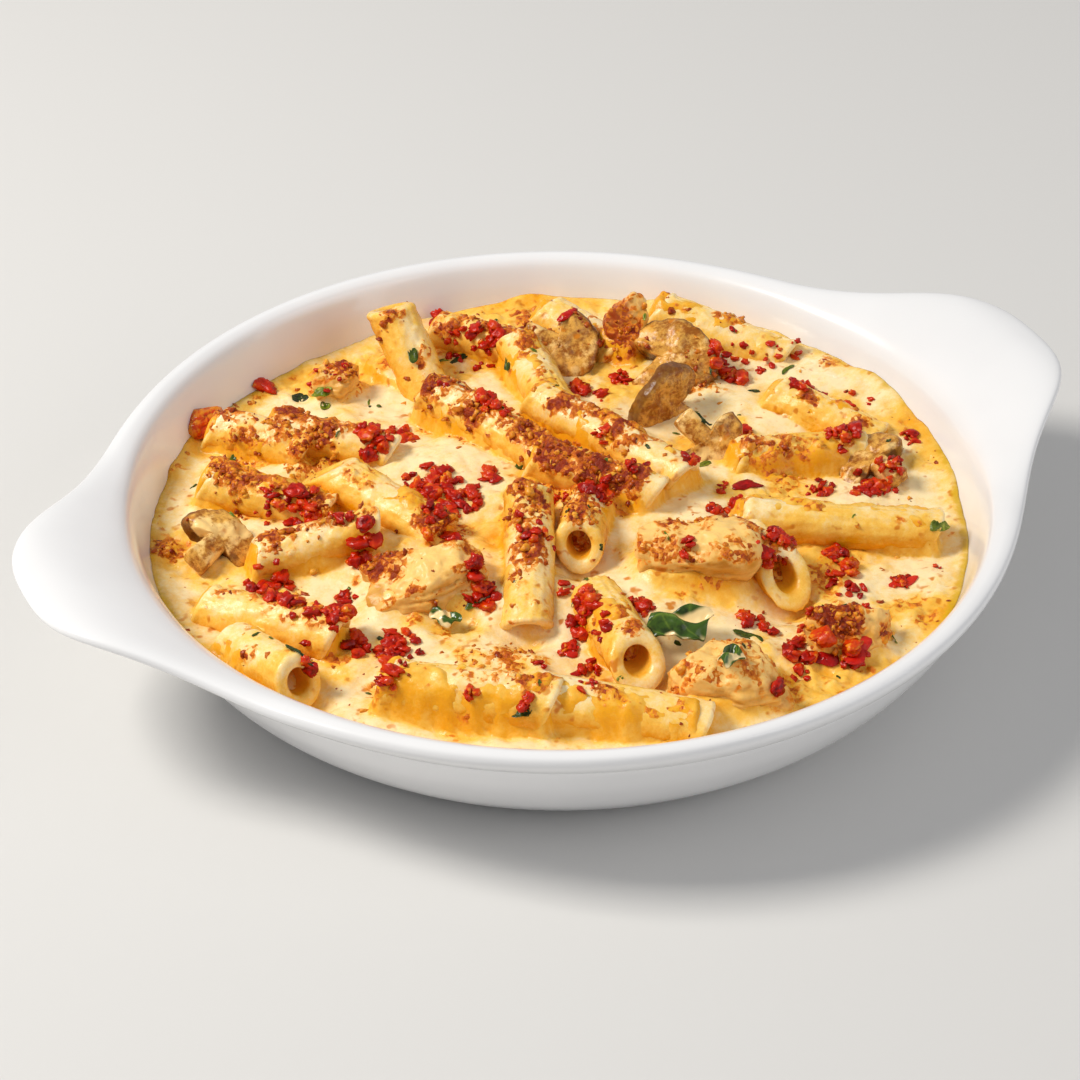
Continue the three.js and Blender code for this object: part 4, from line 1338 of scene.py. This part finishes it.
class BAKEDPENNE_OT_red_crumbs(bpy.types.Operator):
    """Scatter the red crumbs in their clusters"""

    bl_idname = "bakedpenne.red_crumbs"
    bl_label = "Red crumbs"

    def execute(self, context):
        draw = np.random.default_rng(12)
        heights = food_heights()
        counts = [round(2.1 * count) for _, _, _, count, _ in RED_CRUMBS]
        x, y, reach, _, size = np.repeat(np.array(RED_CRUMBS, float), counts, axis=0).T
        away = reach * draw.uniform(0, 1, len(x)) ** 0.6
        angle = draw.uniform(0, 2 * pi, len(x))
        x, y = x + away * np.cos(angle), y + away * np.sin(angle)
        sizes = np.maximum(1.5 * size * draw.uniform(0.42, 1, len(x)) ** 1.3, 1.0)
        z = np.minimum(height_at(heights, x, y), FOOD_TOP - 1) + 0.1 * sizes
        spots = np.stack([x, y, z], -1)
        # Larger crumbs get more faces: which ones, rows and columns.
        kinds = [(sizes > 3, 8, 12), ((sizes > 1.6) & (sizes <= 3), 6, 9), (sizes <= 1.6, 4, 6)]
        parts = [
            lump_cloud(spots[kind], sizes[kind], 5 + n, n, m, flat=0.6, crag=0.3, boxy=0.12)
            for kind, n, m in kinds
        ]
        points, faces, marks = joined(parts)
        # Fried crisp: dark glossy red, orange on some crumbs and on bulges, with painted shade in
        # the creases.
        material = crumb_material(
            "fried_red_pepper_crumb",
            [(0.0, "7C0600"), (0.3, "B01402"), (0.6, "CC2804"), (0.85, "D84A08"),
             (1.0, "E88A1C")], roughness=0.18,
        )
        add_piece("red_crumbs", points, faces, material, "roast_chicken", (), marks)
        return {"FINISHED"}


class BAKEDPENNE_OT_browned_grains(bpy.types.Operator):
    """Scatter grains of browned crust where the top is toasted"""

    bl_idname = "bakedpenne.browned_grains"
    bl_label = "Browned grains"

    def execute(self, context):
        settings = context.scene.baked_penne_food
        draw = np.random.default_rng(21)
        heights = food_heights()
        angle = draw.uniform(0, 2 * pi, 9 * settings.grain_count)
        away = SAUCE_EDGE_RADIUS * np.sqrt(draw.uniform(0, 1, len(angle)))
        x, y = away * np.cos(angle), away * np.sin(angle)
        field = torn(toast_field(x, y), np.stack([x, y, 25 + 0 * x], -1))
        wanted = (field > draw.uniform(0.4, 1.5, len(x))) | (draw.uniform(0, 1, len(x)) < 0.008)
        x, y = x[wanted][: settings.grain_count], y[wanted][: settings.grain_count]
        sizes = settings.grain_size / MM * draw.uniform(0.35, 1.6, len(x)) ** 1.5
        z = height_at(heights, x, y) - 0.22 * sizes
        points, faces, marks = lump_cloud(
            np.stack([x, y, z], -1), sizes, 8, 3, 6, flat=0.8, crag=0.35)
        # Cheese baked dry: brown to golden grains with painted shade in their creases, and a dull
        # shine.
        material = crumb_material(
            "browned_cheese_grain",
            [(0.0, "7A1E03"), (0.3, "B04A06"), (0.65, "DA8216"), (1.0, "F6B43C")],
            roughness=0.28,
        )
        add_piece("browned_grains", points, faces, material, "cream_sauce", (), marks)
        return {"FINISHED"}


class BAKEDPENNE_OT_pepper_and_herbs(bpy.types.Operator):
    """Lay the soft pieces of red pepper and the green herbs"""

    bl_idname = "bakedpenne.pepper_and_herbs"
    bl_label = "Pepper and herbs"

    def execute(self, context):
        heights = food_heights()
        pepper = joined([scrap_surface(heights, row, 0.9, n) for n, row in enumerate(PEPPER)])
        # Stewed soft: bright red, smooth and wet.
        material = crumb_material(
            "soft_red_pepper",
            [(0.0, "7A0806"), (0.5, "B8120C"), (1.0, "D8341A")], roughness=0.1,
        )
        add_piece("red_pepper", *pepper[:2], material, "roast_chicken", (), pepper[2])
        draw = np.random.default_rng(33)
        angle, away = draw.uniform(0, 2 * pi, 60), 86 * np.sqrt(draw.uniform(0, 1, 60))
        flecks = [
            (d * np.cos(a), d * np.sin(a), *draw.uniform((0.9, 0.5, 0), (2.6, 1.1, 360)))
            for a, d in zip(angle, away)
        ]
        herbs = joined(
            [scrap_surface(heights, row, 0.25, n) for n, row in enumerate(HERBS + flecks)]
        )
        # Wilted by the oven: olive green, darker at the stems, with a faint shine.
        material = crumb_material(
            "chopped_green_herb",
            [(0.0, "1C2607"), (0.45, "39490F"), (0.8, "6C7A1C"), (1.0, "A3A63A")],
            roughness=0.22,
        )
        add_piece("green_herbs", *herbs[:2], material, "spinach_leaf", (), herbs[2])
        return {"FINISHED"}


class BAKEDPENNE_OT_stage(bpy.types.Operator):
    """Set the floor, the lights and the camera"""

    bl_idname = "bakedpenne.stage"
    bl_label = "Stage"

    def execute(self, context):
        scene = context.scene
        settings = scene.baked_penne_stage
        mesh = bpy.data.meshes.new("floor")
        corners = [(-3, -3, 0), (3, -3, 0), (3, 3, 0), (-3, 3, 0)]
        mesh.from_pydata(corners, [], [(0, 1, 2, 3)])
        floor = bpy.data.objects.new("floor", mesh)
        scene.collection.objects.link(floor)
        material, _, _ = new_material("plain_floor", {
            "Base Color": opaque(settings.floor_colour), "Roughness": 0.8})
        mesh.materials.append(material)

        lights = [
            ("key", (-0.75, 0.35, 0.95), 0.38, settings.key_power, "FFFBF4"),
            ("fill", (0.75, -0.8, 0.6), 0.9, settings.fill_power, "FFFFFF"),
        ]
        for name, place, size, power, code in lights:
            lamp = bpy.data.lights.new(name, "AREA")
            lamp.size, lamp.energy, lamp.color = size, power, linear(code)
            light = bpy.data.objects.new(name, lamp)
            light.location = place
            aim = Vector((0, 0, 0.02)) - light.location
            light.rotation_euler = aim.to_track_quat("-Z", "Y").to_euler()
            scene.collection.objects.link(light)

        world = bpy.data.worlds.new("soft_room")
        world.use_nodes = True
        backdrop = world.node_tree.nodes["Background"]
        backdrop.inputs["Color"].default_value = opaque("FBFCFF")
        backdrop.inputs["Strength"].default_value = 0.4
        scene.world = world
        scene.view_settings.view_transform = "Standard"

        lens = bpy.data.cameras.new("camera")
        lens.lens, lens.sensor_width = CAMERA_LENS, 36
        camera = bpy.data.objects.new("camera", lens)
        camera.location = Vector(CAMERA_PLACE) * MM
        level = np.cos(radians(CAMERA_DROP))
        aim = Vector((CAMERA_HEADING[0] * level, CAMERA_HEADING[1] * level,
                      -np.sin(radians(CAMERA_DROP))))
        camera.rotation_euler = aim.to_track_quat("-Z", "Y").to_euler()
        scene.collection.objects.link(camera)
        scene.camera = camera
        return {"FINISHED"}


OPERATORS = [
    BAKEDPENNE_OT_dish,
    BAKEDPENNE_OT_sauce,
    BAKEDPENNE_OT_penne,
    BAKEDPENNE_OT_chicken,
    BAKEDPENNE_OT_mushrooms,
    BAKEDPENNE_OT_spinach,
    BAKEDPENNE_OT_red_crumbs,
    BAKEDPENNE_OT_browned_grains,
    BAKEDPENNE_OT_pepper_and_herbs,
    BAKEDPENNE_OT_stage,
]


class BAKEDPENNE_PT_panel(bpy.types.Panel):
    """The settings and the steps that make the dish of baked penne"""

    bl_idname = "BAKEDPENNE_PT_panel"
    bl_label = "Baked penne"
    bl_space_type = "VIEW_3D"
    bl_region_type = "UI"
    bl_category = "Baked penne"

    def draw(self, context):
        for group in (context.scene.baked_penne_food, context.scene.baked_penne_stage):
            box = self.layout.box()
            for name in group.__annotations__:
                box.prop(group, name)
        for operator in OPERATORS:
            self.layout.operator(operator.bl_idname)


CLASSES = [FoodSettings, StageSettings, *OPERATORS, BAKEDPENNE_PT_panel]


def register():
    for cls in CLASSES:
        bpy.utils.register_class(cls)
    bpy.types.Scene.baked_penne_food = bpy.props.PointerProperty(type=FoodSettings)
    bpy.types.Scene.baked_penne_stage = bpy.props.PointerProperty(type=StageSettings)


def unregister():
    del bpy.types.Scene.baked_penne_stage
    del bpy.types.Scene.baked_penne_food
    for cls in reversed(CLASSES):
        bpy.utils.unregister_class(cls)


def main():
    """Makes every piece and the stage."""
    register()
    steps = bpy.ops.bakedpenne
    for make in (
        steps.dish, steps.sauce, steps.penne, steps.chicken, steps.mushrooms, steps.spinach,
        steps.red_crumbs, steps.browned_grains, steps.pepper_and_herbs, steps.stage,
    ):
        make()


if __name__ == "__main__":
    main()
